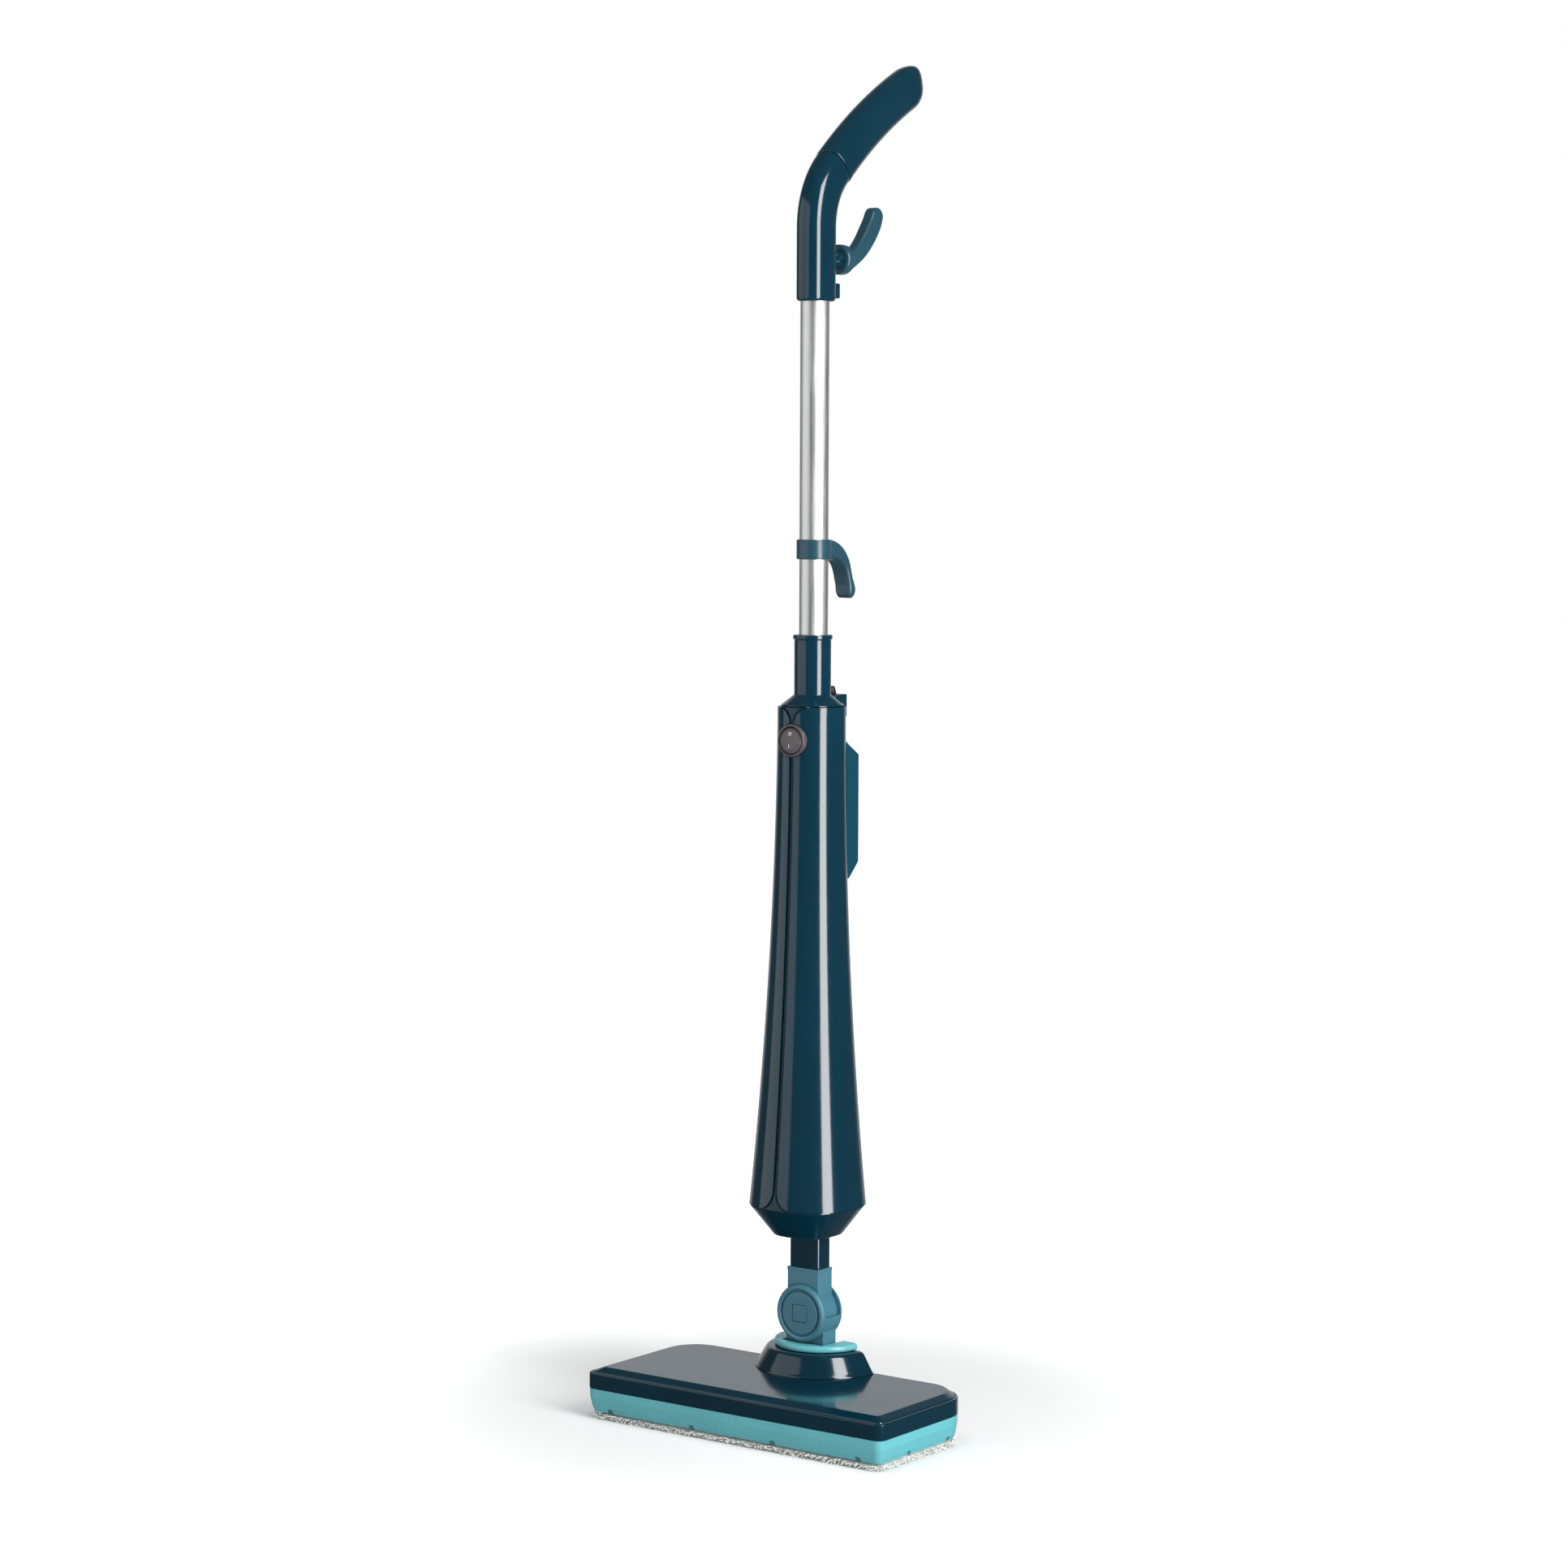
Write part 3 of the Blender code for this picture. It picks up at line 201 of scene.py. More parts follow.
def tint(tree, shader, fac, dark, light):
    ramp = tree.nodes.new("ShaderNodeValToRGB")
    ramp.color_ramp.elements[0].position = 0.3
    ramp.color_ramp.elements[1].position = 0.7
    ramp.color_ramp.elements[0].color = (*dark, 1.0)
    ramp.color_ramp.elements[1].color = (*light, 1.0)
    tree.links.new(fac, ramp.inputs["Fac"])
    tree.links.new(ramp.outputs["Color"], shader.inputs["Base Color"])


def bump(tree, shader, height, strength, distance):
    made = socket(tree, "ShaderNodeBump", Strength=strength, Distance=distance * MM)
    tree.links.new(height, made.inputs["Height"])
    before = shader.inputs["Normal"]
    if before.is_linked:
        tree.links.new(before.links[0].from_socket, made.inputs["Normal"])
    tree.links.new(made.outputs["Normal"], before)


def shade(colour, factor):
    return tuple(min(c * factor, 1.0) for c in colour)


def moulded(name, colour, roughness, grain, coat=0.0, drift=0.08, wave=0.0):
    """Moulded plastic: slow colour drift, handling marks in the gloss, grain, a slight wave."""
    made, tree, shader, place = surface(
        name, colour, roughness, Coat_Weight=coat, Coat_Roughness=0.06, IOR=1.5
    )
    slow = noise_at(tree, place, 14.0, 2.0)
    tint(tree, shader, slow, shade(colour, 1 - drift), shade(colour, 1 + drift))
    marks = noise_at(tree, place, 90.0, 6.0, 0.7)
    tree.links.new(
        spread(tree, marks, roughness * 0.82, roughness * 1.22), shader.inputs["Roughness"]
    )
    bump(tree, shader, noise_at(tree, place, 1900.0, 2.0, 0.5), grain, 0.02)
    if wave:
        bump(tree, shader, noise_at(tree, place, 22.0, 1.0, 0.4), wave, 0.5)
    return made


def drawn_metal(name, colour, roughness, stretch, anisotropy=0.4):
    """Drawn or turned metal: fine streaks along its length in colour, gloss and relief."""
    made, tree, shader, place = surface(
        name, colour, roughness, 1.0, Anisotropic=anisotropy
    )
    streaks = noise_at(tree, place, 60.0, 5.0, 0.65, stretch)
    tint(tree, shader, streaks, shade(colour, 0.93), shade(colour, 1.05))
    tree.links.new(
        spread(tree, streaks, roughness * 0.8, roughness * 1.25), shader.inputs["Roughness"]
    )
    bump(tree, shader, streaks, 0.06, 0.01)
    return made


def fleece_material():
    """Looped off-white microfibre: clumped pile, soft sheen and slightly uneven colour."""
    colour = (0.86, 0.86, 0.82)
    made, tree, shader, place = surface(
        "fleece", colour, 0.95, Sheen_Weight=0.6, Sheen_Roughness=0.5
    )
    clumps = noise_at(tree, place, 210.0, 4.0, 0.6)
    tint(tree, shader, clumps, (0.74, 0.73, 0.69), (0.93, 0.93, 0.9))
    cells = tree.nodes.new("ShaderNodeTexVoronoi")
    cells.inputs["Scale"].default_value = 520.0
    tree.links.new(place, cells.inputs["Vector"])
    bump(tree, shader, cells.outputs["Distance"], 0.9, 0.7)
    bump(tree, shader, clumps, 0.8, 1.2)
    return made


def hook_tape_material():
    made, tree, shader, place = surface("hook_tape", (0.02, 0.02, 0.022), 0.8)
    cells = tree.nodes.new("ShaderNodeTexVoronoi")
    cells.inputs["Scale"].default_value = 700.0
    tree.links.new(place, cells.inputs["Vector"])
    tint(tree, shader, cells.outputs["Distance"], (0.03, 0.03, 0.032), (0.01, 0.01, 0.011))
    bump(tree, shader, cells.outputs["Distance"], 0.8, 0.4)
    return made


def floor_material():
    """A pale floor, matt near the object and lit like the white sweep behind it further out."""
    made, tree, shader, place = surface("pale_floor", (0.72, 0.72, 0.72), 0.7)
    slow = noise_at(tree, place, 2.0, 2.0)
    tint(tree, shader, slow, (0.71, 0.71, 0.71), (0.73, 0.73, 0.73))
    shader.inputs["Specular IOR Level"].default_value = 0.1
    shader.inputs["Emission Color"].default_value = (1.0, 1.0, 1.0, 1.0)
    reach = tree.nodes.new("ShaderNodeVectorMath")
    reach.operation = "LENGTH"
    tree.links.new(place, reach.inputs[0])
    fade = tree.nodes.new("ShaderNodeMapRange")
    fade.interpolation_type = "SMOOTHSTEP"
    fade.inputs["From Min"].default_value = 0.2
    fade.inputs["From Max"].default_value = 0.75
    tree.links.new(reach.outputs["Value"], fade.inputs["Value"])
    tree.links.new(fade.outputs["Result"], shader.inputs["Emission Strength"])
    return made


DEEP = (0.0009, 0.0185, 0.0325)
LOOKS = {
    "deep_teal": moulded("deep_teal", DEEP, 0.13, 0.03, coat=0.35, wave=0.05),
    "spine_teal": moulded("spine_teal", shade(DEEP, 0.8), 0.34, 0.35),
    "mid_teal": moulded("mid_teal", (0.046, 0.16, 0.215), 0.42, 0.5, drift=0.1),
    "turquoise": moulded("turquoise", (0.105, 0.39, 0.43), 0.32, 0.1, coat=0.1, drift=0.04),
    "black_plastic": moulded("black_plastic", (0.012, 0.012, 0.013), 0.4, 0.3),
    "smoke_grey": moulded("smoke_grey", (0.06, 0.052, 0.056), 0.24, 0.1),
    "tinted_tank": moulded("tinted_tank", (0.002, 0.036, 0.06), 0.16, 0.03, coat=0.3),
    "satin_aluminium": drawn_metal("satin_aluminium", (0.86, 0.86, 0.86), 0.36, (9, 9, 0.25)),
    "cast_aluminium": drawn_metal("cast_aluminium", (0.6, 0.6, 0.59), 0.5, (3, 3, 3), 0.0),
    "steel": drawn_metal("steel", (0.55, 0.55, 0.56), 0.3, (1, 1, 6)),
    "silicone": moulded("silicone", (0.28, 0.28, 0.29), 0.65, 0.3),
    "hook_tape": hook_tape_material(),
    "fleece": fleece_material(),
}
HOOK_TEAL = moulded("hook_teal", (0.011, 0.044, 0.064), 0.3, 0.2, coat=0.15)
MARK = moulded("mark_print", (0.5, 0.5, 0.5), 0.5, 0.05)
SLOT_OF = {row["node"]: row["material_slot"] for row in frame["record"]["subparts"]}
BODY_OF = {
    node: body
    for body, nodes in frame["record"]["behaviour"]["bodies"].items()
    for node in nodes
}


def dress_cad_nodes():
    for name, obj in NODES.items():
        look = LOOKS[SLOT_OF[name]]
        for slot in obj.material_slots:
            slot.material = look


# ---------------------------------------------------------------- mesh helpers


def from_bmesh(name, bm, scale=MM):
    bmesh.ops.recalc_face_normals(bm, faces=bm.faces)
    bmesh.ops.scale(bm, vec=(scale, scale, scale), verts=bm.verts)
    mesh = bpy.data.meshes.new(name)
    bm.to_mesh(mesh)
    bm.free()
    obj = bpy.data.objects.new(name, mesh)
    bpy.context.scene.collection.objects.link(obj)
    return obj


def loft(name, rings):
    bm = bmesh.new()
    rows = [[bm.verts.new(point) for point in ring] for ring in rings]
    for low, high in zip(rows, rows[1:]):
        for i in range(len(low)):
            j = (i + 1) % len(low)
            bm.faces.new((low[i], low[j], high[j], high[i]))
    bm.faces.new(rows[0])
    bm.faces.new(rows[-1])
    return from_bmesh(name, bm)


def sheet(name, rows):
    """An open grid of points, row by row."""
    bm = bmesh.new()
    made = [[bm.verts.new(point) for point in row] for row in rows]
    for low, high in zip(made, made[1:]):
        for i in range(len(low) - 1):
            bm.faces.new((low[i], low[i + 1], high[i + 1], high[i]))
    return from_bmesh(name, bm)


def box(name, low, high):
    bm = bmesh.new()
    bmesh.ops.create_cube(bm, size=1.0)
    bmesh.ops.scale(bm, vec=[b - a for a, b in zip(low, high)], verts=bm.verts)
    bmesh.ops.translate(bm, vec=[(a + b) / 2 for a, b in zip(low, high)], verts=bm.verts)
    return from_bmesh(name, bm)


def rod(name, radius, start, end, sides=96):
    start = Vector(start)
    along = Vector(end) - start
    bm = bmesh.new()
    bmesh.ops.create_cone(
        bm, cap_ends=True, segments=sides, radius1=radius, radius2=radius, depth=along.length
    )
    turn = along.to_track_quat("Z", "Y").to_matrix().to_4x4()
    bmesh.ops.transform(bm, matrix=Matrix.Translation(start + along / 2) @ turn, verts=bm.verts)
    return from_bmesh(name, bm)


def prism(name, outline, axis, low, high):
    def at(point, height):
        spot = list(point)
        spot.insert(axis, height)
        return spot

    return loft(name, [[at(p, low) for p in outline], [at(p, high) for p in outline]])


def turned(name, profile, centre, direction, steps=96):
    """A closed or axis-to-axis profile of (radius, height) points, spun about an axis."""
    place = Matrix.Translation(Vector(centre))
    place = place @ Vector(direction).to_track_quat("Z", "Y").to_matrix().to_4x4()
    bm = bmesh.new()
    points = [bm.verts.new((r, 0.0, h)) for r, h in profile]
    edges = [bm.edges.new(pair) for pair in zip(points, points[1:])]
    bmesh.ops.spin(
        bm,
        geom=points + edges,
        axis=(0, 0, 1),
        cent=(0, 0, 0),
        angle=2 * math.pi,
        steps=steps,
        use_merge=True,
    )
    bmesh.ops.remove_doubles(bm, verts=bm.verts, dist=0.0005)
    bmesh.ops.transform(bm, matrix=place, verts=bm.verts)
    return from_bmesh(name, bm)


def rounded_profile(points, radius, count=5):
    """A profile with its inner corners rounded by up to radius."""
    made = [points[0]]
    for before, corner, after in zip(points, points[1:], points[2:]):
        here = Vector((*corner, 0))
        back = Vector((*before, 0)) - here
        ahead = Vector((*after, 0)) - here
        reach = min(radius, back.length * 0.45, ahead.length * 0.45)
        a = here + back.normalized() * reach
        b = here + ahead.normalized() * reach
        for i in range(count):
            t = i / (count - 1)
            p = a * (1 - t) ** 2 + here * 2 * t * (1 - t) + b * t * t
            made.append((p.x, p.y))
    made.append(points[-1])
    return made


def applied(obj):
    """The object with its modifiers made part of its mesh."""
    bpy.context.view_layer.update()
    graph = bpy.context.evaluated_depsgraph_get()
    mesh = bpy.data.meshes.new_from_object(obj.evaluated_get(graph))
    old = obj.data
    obj.modifiers.clear()
    obj.data = mesh
    bpy.data.meshes.remove(old)
    mesh.name = obj.name
    return obj


def boolean(obj, operation, *tools, own_folds=False):
    for tool in tools:
        change = obj.modifiers.new(operation.title(), "BOOLEAN")
        change.operation = operation
        change.solver = "EXACT"
        change.object = tool
        change.use_self = own_folds
    applied(obj)
    for tool in tools:
        bpy.data.objects.remove(tool, do_unlink=True)
    return obj


def bevelled(obj, width, segments=3, angle=40):
    bevel = obj.modifiers.new("Bevel", "BEVEL")
    bevel.width = width * MM
    bevel.segments = segments
    bevel.limit_method = "ANGLE"
    bevel.angle_limit = math.radians(angle)
    bevel.harden_normals = False
    return applied(obj)


def smooth(obj, angle=32):
    """Smooth shading across edges below an angle, with the larger faces kept flat."""
    obj.data.shade_smooth()
    obj.data.set_sharp_from_angle(angle=math.radians(angle))
    weighted = obj.modifiers.new("Weighted Normal", "WEIGHTED_NORMAL")
    weighted.keep_sharp = True
    return applied(obj)


def dress(obj, node, *others, look=None, angle=32):
    """Gives a finished piece its finish, its body and the CAD nodes that it stands for."""
    smooth(obj, angle)
    slot = SLOT_OF[node]
    obj.data.materials.clear()
    obj.data.materials.append(look or LOOKS[slot])
    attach(obj, BODY_OF[node])
    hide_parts(node, *others)
    return obj


def refined_copy(node):
    """A CAD node's own shape with smooth shading."""
    bm = bmesh.new()
    bm.from_mesh(NODES[node].data)
    bmesh.ops.remove_doubles(bm, verts=bm.verts, dist=0.000002)
    return dress(from_bmesh(f"{node}_finish", bm, 1.0), node)


def pillow(name, outline, half_x, rounding, reshape=None, steps=9):
    """An outline in the YZ plane made solid across X, with its rim rounded all the way round."""
    points = [Vector((y, z)) for y, z in outline]
    count = len(points)
    inward = []
    for i in range(count):
        along = (points[(i + 1) % count] - points[i - 1]).normalized()
        inward.append(Vector((-along.y, along.x)))
    area = sum(a.x * b.y - b.x * a.y for a, b in zip(points, points[1:] + points[:1]))
    if area < 0:
        inward = [-n for n in inward]
    angles = [math.pi / 2 * i / (steps - 1) for i in range(steps)]
    rims = [(half_x - rounding * (1 - math.sin(a)), rounding * (1 - math.cos(a))) for a in angles]
    levels = [(-x, inset) for x, inset in reversed(rims)] + rims
    rings = []
    for x, inset in levels:
        spots = [point + n * inset for point, n in zip(points, inward)]
        rings.append([reshape(x, y, z) if reshape else (x, y, z) for y, z in spots])
    return loft(name, rings)


def arc(cx, cy, radius, start, end, count):
    angles = [math.radians(start + (end - start) * i / (count - 1)) for i in range(count)]
    return [(cx + radius * math.cos(a), cy + radius * math.sin(a)) for a in angles]


def rounded_box_outline(x0, x1, y0, y1, low_r, high_r, count=14):
    return (
        arc(x1 - low_r, y0 + low_r, low_r, -90, 0, count)
        + arc(x1 - high_r, y1 - high_r, high_r, 0, 90, count)
        + arc(x0 + high_r, y1 - high_r, high_r, 90, 180, count)
        + arc(x0 + low_r, y0 + low_r, low_r, 180, 270, count)
    )


def at_height(outline, z):
    return [(x, y, z) for x, y in outline]


def superellipse(half_x, half_y, centre_y, z, count=96, power=SQUARENESS):
    ring = []
    for i in range(count):
        a = 2 * math.pi * (i + 0.5) / count
        x = math.copysign(abs(math.cos(a)) ** (2 / power), math.cos(a))
        y = math.copysign(abs(math.sin(a)) ** (2 / power), math.sin(a))
        ring.append((half_x * x, centre_y + half_y * y, z))
    return ring


def between(a, b, t):
    return a + (b - a) * t


# ---------------------------------------------------------------- foot


def foot_ring(inset, z):
    return at_height(
        rounded_box_outline(
            -FOOT_HALF + inset,
            FOOT_HALF - inset,
            FOOT_FRONT + inset,
            FOOT_REAR - inset / 3,
            max(FRONT_CORNER - inset / 2, 3.0),
            REAR_CORNER - inset / 2,
        ),
        z,
    )


def make_foot_cover():
    profile = rounded_profile(
        [
            (1.2, COVER_LOW),
            (0.0, COVER_LOW + 0.4),
            (0.0, RIM_DROP_Z),
            (0.9, LEDGE_Z),
            (2.2, LEDGE_Z),
            (2.5, 40.5),
            (3.3, 40.5),
            (3.6, 41.6),
            (11.2, DECK_Z - 0.02),
            (16.0, DECK_Z),
        ],
        0.45,
        3,
    )
    cover = loft("foot_cover_shell", [foot_ring(i, z) for i, z in profile])
    dress(cover, "foot_top_cover", angle=24)


def make_foot_skirt():
    profile = rounded_profile(
        [(5.2, SKIRT_LOW), (3.8, SKIRT_LOW + 0.1), (2.2, 11.0), (0.6, 19.0), (0.3, SKIRT_TOP)],
        0.9,
    )
    profile += [(2.0, SKIRT_TOP)]
    skirt = loft("foot_skirt_shell", [foot_ring(i, z) for i, z in profile])
    cuts = []
    notch_half, notch_low, notch_top = 3.0, SKIRT_LOW - 1.0, SKIRT_LOW + 3.9
    outside, inside = 2.0, 7.0
    for x in (-132.0, -43.0, 43.0, 132.0):
        low = (x - notch_half, FOOT_FRONT - outside, notch_low)
        cuts.append(box("notch", low, (x + notch_half, FOOT_FRONT + inside, notch_top)))
    for y in (-72.0, -14.0):
        for side in (-1, 1):
            ends = sorted((side * (FOOT_HALF - inside), side * (FOOT_HALF + outside)))
            low = (ends[0], y - notch_half, notch_low)
            cuts.append(box("notch", low, (ends[1], y + notch_half, notch_top)))
    for cut in cuts:
        bevelled(cut, 1.0, 3)
    boolean(skirt, "DIFFERENCE", *cuts)
    dress(skirt, "foot_skirt", angle=50)


def pad_ring(inset, z):
    return foot_ring(6.0 + inset, z)


def make_pad():
    """The cloth pad: a simulated, slightly swollen slab with a looped fringe round its edge."""
    pad = loft(
        "cloth_pad",
        [pad_ring(i, z) for i, z in ((1.8, 0.5), (0.6, 1.6), (0.6, 3.6), (2.0, PAD_TOP - 0.4))],
    )
    remesh = pad.modifiers.new("Remesh", "REMESH")
    remesh.mode = "VOXEL"
    remesh.voxel_size = 2.6 * MM
    applied(pad)
    swell(pad)
    bm = bmesh.new()
    bm.from_mesh(pad.data)
    for vert in bm.verts:
        p = vert.co / MM
        lumps = noise.fractal(p * 0.11, 1.0, 2.0, 3)
        edge_share = min(max((abs(p.x) - 140) / 10, (-p.y - 98) / 8, (p.y - 8) / 8, 0.0), 1.0)
        vert.co.x += 0.7 * lumps * edge_share * MM * (1 if p.x > 0 else -1)
        vert.co.z += 0.35 * lumps * MM
        vert.co.z = min(max(vert.co.z, 0.0), (PAD_TOP + 0.2) * MM)
    bm.to_mesh(pad.data)
    bm.free()
    pad.modifiers.new("Subdivision", "SUBSURF").levels = 1
    pad.modifiers["Subdivision"].render_levels = 1
    applied(pad)
    for vert in pad.data.vertices:
        vert.co.z = max(vert.co.z, 0.0)
    dress(pad, "microfibre_pad", angle=80)
    make_fringe()


def swell(pad):
    scene = bpy.context.scene
    before = [vert.co.copy() for vert in pad.data.vertices]
    cloth = pad.modifiers.new("Cloth", "CLOTH")
    cloth.settings.quality = 5
    cloth.settings.use_pressure = True
    cloth.settings.uniform_pressure_force = 2.0
    cloth.settings.effector_weights.gravity = 0.0
    cloth.settings.tension_stiffness = 20.0
    steps = 12
    cloth.point_cache.frame_start = 1
    cloth.point_cache.frame_end = steps
    for step in range(1, steps + 1):
        scene.frame_set(step)
    applied(pad)
    scene.frame_set(1)
    most = 0.8 * MM
    for vert, place in zip(pad.data.vertices, before):
        move = vert.co - place
        if move.length > most:
            vert.co = place + move.normalized() * most


def make_fringe():
    """Short loops of pile that stand out all round the pad's edge."""
    rng = random.Random(7)
    outline = [Vector((x, y, 0.0)) for x, y, _ in pad_ring(-1.4, 0.0)]
    bm = bmesh.new()
    for start, end in zip(outline, outline[1:] + outline[:1]):
        span = end - start
        if span.length < 0.01:
            continue
        out = Vector((span.y, -span.x, 0.0)).normalized()
        count = max(int(span.length / 0.75), 1)
        for i in range(count):
            foot = start + span * ((i + rng.random()) / count)
            foot.z = rng.uniform(1.0, 4.6)
            reach = rng.uniform(1.0, 3.9)
            lean = span.normalized() * rng.uniform(-1.1, 1.1)
            tip = foot + out * reach + lean
            tip.z = max(foot.z + rng.uniform(-1.6, 0.9), 0.45)
            tuft(bm, foot - out * 0.8, tip, rng.uniform(0.34, 0.55))
    fringe = from_bmesh("pad_fringe", bm)
    smooth(fringe, 80)
    fringe.data.materials.append(LOOKS["fleece"])
    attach(fringe, "foot")


def tuft(bm, start, tip, radius):
    """One blunt loop of pile from start to tip."""
    along = (tip - start).normalized()
    side = along.orthogonal().normalized()
    other = along.cross(side)
    rows = []
    for t, share in ((0.0, 0.8), (0.35, 1.0), (0.75, 0.95), (0.95, 0.6)):
        centre = start.lerp(tip, t)
        ring = []
        for i in range(6):
            a = math.tau * i / 6
            reach = radius * share
            point = centre + (side * math.cos(a) + other * math.sin(a)) * reach
            point.z = max(point.z, 0.02)
            ring.append(bm.verts.new(point))
        rows.append(ring)
    for low, high in zip(rows, rows[1:]):
        for i in range(6):
            j = (i + 1) % 6
            bm.faces.new((low[i], low[j], high[j], high[i]))
    bm.faces.new(rows[0])
    bm.faces.new(rows[-1])


def half_round_outline(radius, rear, corner, front_count=72, corner_count=10):
    across = rear - corner - DOME_CENTRE_Y
    corner_x = math.sqrt((radius - corner) ** 2 - across**2)
    turn = math.degrees(math.atan2(across, corner_x))
    right = arc(corner_x, rear - corner, corner, 90, turn, corner_count)
    front = arc(0.0, DOME_CENTRE_Y, radius, turn, -180 - turn, front_count)
    left = [(-x, y) for x, y in reversed(right)]
    return right[:-1] + front + left[1:]


def half_round_solid(name, levels):
    rings = [at_height(half_round_outline(r, DOME_REAR - back, 5.0), z) for r, back, z in levels]
    return loft(name, rings)


def slot_cutter(low, high):
    outline = [(-21.4, -13.0), (21.4, -13.0), (26.0, DOME_REAR + 4.0), (-26.0, DOME_REAR + 4.0)]
    return bevelled(prism("slot", outline, 2, low, high), 2.0, 4, 60)


def make_dome():
    levels = (
        (58.4, 0.0, DOME_LOW),
        (58.2, 0.0, DOME_LOW + 0.8),
        (57.4, 0.1, DOME_LOW + 1.7),
        (56.4, 0.15, DOME_LOW + 3.2),
        (48.9, 0.5, DOME_TOP - 2.4),
        (47.8, 0.8, DOME_TOP - 1.2),
        (46.4, 1.4, DOME_TOP - 0.4),
        (44.6, 2.2, DOME_TOP),
        (40.0, 3.0, DOME_TOP),
    )
    dome = half_round_solid("dome_shell", levels)
    boolean(dome, "DIFFERENCE", slot_cutter(DOME_LOW + 0.6, DOME_TOP + 2.0))
    dress(dome, "joint_dome", angle=30)

    low = edge("dome_cap_ring", Z, False)
    levels = (
        (39.4, 1.6, low),
        (40.6, 0.6, low + 0.5),
        (41.3, 0.1, low + 1.6),
        (41.4, 0.0, low + 2.6),
        (41.3, 0.0, CAP_TOP - 2.0),
        (40.8, 0.5, CAP_TOP - 0.9),
        (39.9, 1.1, CAP_TOP - 0.3),
        (38.6, 2.0, CAP_TOP),
    )
    ring = half_round_solid("turquoise_ring", levels)
    boolean(ring, "DIFFERENCE", slot_cutter(low - 2.0, CAP_TOP + 2.0))
    dress(ring, "dome_cap_ring", angle=35)


# ---------------------------------------------------------------- yokes


def make_yokes():
    low = edge("lower_yoke", Z, False)
    tail_r, block_half, block_front, block_rear = 9.8, 20.3, -8.2, 10.2
    pitch_z = low + tail_r
    rear = edge("lower_yoke", Y, True)
    block_low, block_top = pitch_z + 2.0, TILT_Z - 12.0
    outline = arc(0.0, pitch_z, tail_r, -170, -10, 24)
    outline += [(block_rear, block_low), (block_rear, block_top)]
    outline += [(block_front, block_top), (block_front, block_low)]
    block = prism("lower_yoke_body", outline, 0, -block_half, block_half)
    bevelled(block, 0.9, 3, 60)
    disc = rod("cup", DISC_R, (0, BLOCK_FRONT - 0.3, TILT_Z), (0, rear, TILT_Z), ROUND_STEPS)
    bevelled(disc, 1.0, 4)
    cup_rear = BLOCK_REAR + 0.3
    seat = rod("seat", 22.9, (0, -24, TILT_Z), (0, cup_rear, TILT_Z), ROUND_STEPS)
    mouth = box("mouth", (-30, -24, edge("tilt_pin", Z, True) - 6.0), (30, cup_rear, TILT_Z + 30))
    boolean(block, "UNION", disc)
    boolean(block, "DIFFERENCE", seat, mouth)
    dress(block, "lower_yoke", angle=40)

    top = NECK_SOCKET_TOP
    upper = box("upper_yoke_body", (-16.7, BLOCK_FRONT, TILT_Z), (16.7, BLOCK_REAR, top - 2.2))
    bevelled(upper, 0.9, 3)
    lip = box("lip", (-16.9, BLOCK_FRONT - 0.15, top - 3.0), (16.9, BLOCK_REAR + 0.15, top))
    bevelled(lip, 0.5, 3)
    drum = rod("drum", 22.4, (0, BLOCK_FRONT, TILT_Z), (0, BLOCK_REAR, TILT_Z), ROUND_STEPS)
    bevelled(drum, 0.5, 3)
    boolean(upper, "UNION", lip, drum)
    dress(upper, "upper_yoke", angle=40)

    front = BLOCK_FRONT - 0.6
    cover = turned(
        "pivot_cover_disc",
        rounded_profile(
            [
                (0.0, 4.1),
                (18.3, 4.1),
                (19.1, 3.0),
                (19.2, 2.1),
                (20.0, 2.1),
                (20.5, 3.6),
                (22.1, 4.7),
                (24.0, 4.2),
                (DISC_R, 2.2),
                (DISC_R, 0.3),
                (DISC_R - 0.4, 0.0),
                (0.0, 0.0),
            ],
            0.8,
        ),
        (0.0, front, TILT_Z),
        (0, -1, 0),
        ROUND_STEPS,
    )
    seat = rounded_box_outline(-8.1, 8.1, TILT_Z - 7.9, TILT_Z + 7.9, 2.6, 2.6, 8)
    boolean(cover, "DIFFERENCE", prism("seat", seat, 1, front - 8.0, front - 2.0))
    dress(cover, "pivot_cover", angle=40)
    face = rounded_box_outline(-7.6, 7.6, TILT_Z - 7.4, TILT_Z + 7.4, 2.4, 2.4, 8)
    plug = prism("pivot_plug_face", face, 1, front - 4.0, front - 2.3)
    bevelled(plug, 0.4, 3)
    dress(plug, "pivot_plug", angle=40)


# ---------------------------------------------------------------- body


def body_drop(z):
    return min(max((BODY_TOP - z) / (BODY_TOP - BODY_LOW), 0.0), 1.0)


def body_radius(z):
    return BODY_R_TOP + BODY_R_GAIN * body_drop(z) ** BODY_CURVE


def body_centre(z):
    return -2.0 - 2.8 * body_drop(z)


def body_solid(name, inset, low, high, levels=48):
    rings = []
    for i in range(levels + 1):
        z = between(low, high, i / levels)
        radius = body_radius(z) - inset
        rings.append(superellipse(radius, radius, body_centre(z), z, ROUND_STEPS))
    return loft(name, rings)


def front_y(x, z, inset):
    """The body surface's y on the front side, where its half-width is x."""
    radius = body_radius(z) - inset
    share = min(abs(x) / radius, 1.0)
    return body_centre(z) - radius * (1 - share**SQUARENESS) ** (1 / SQUARENESS)


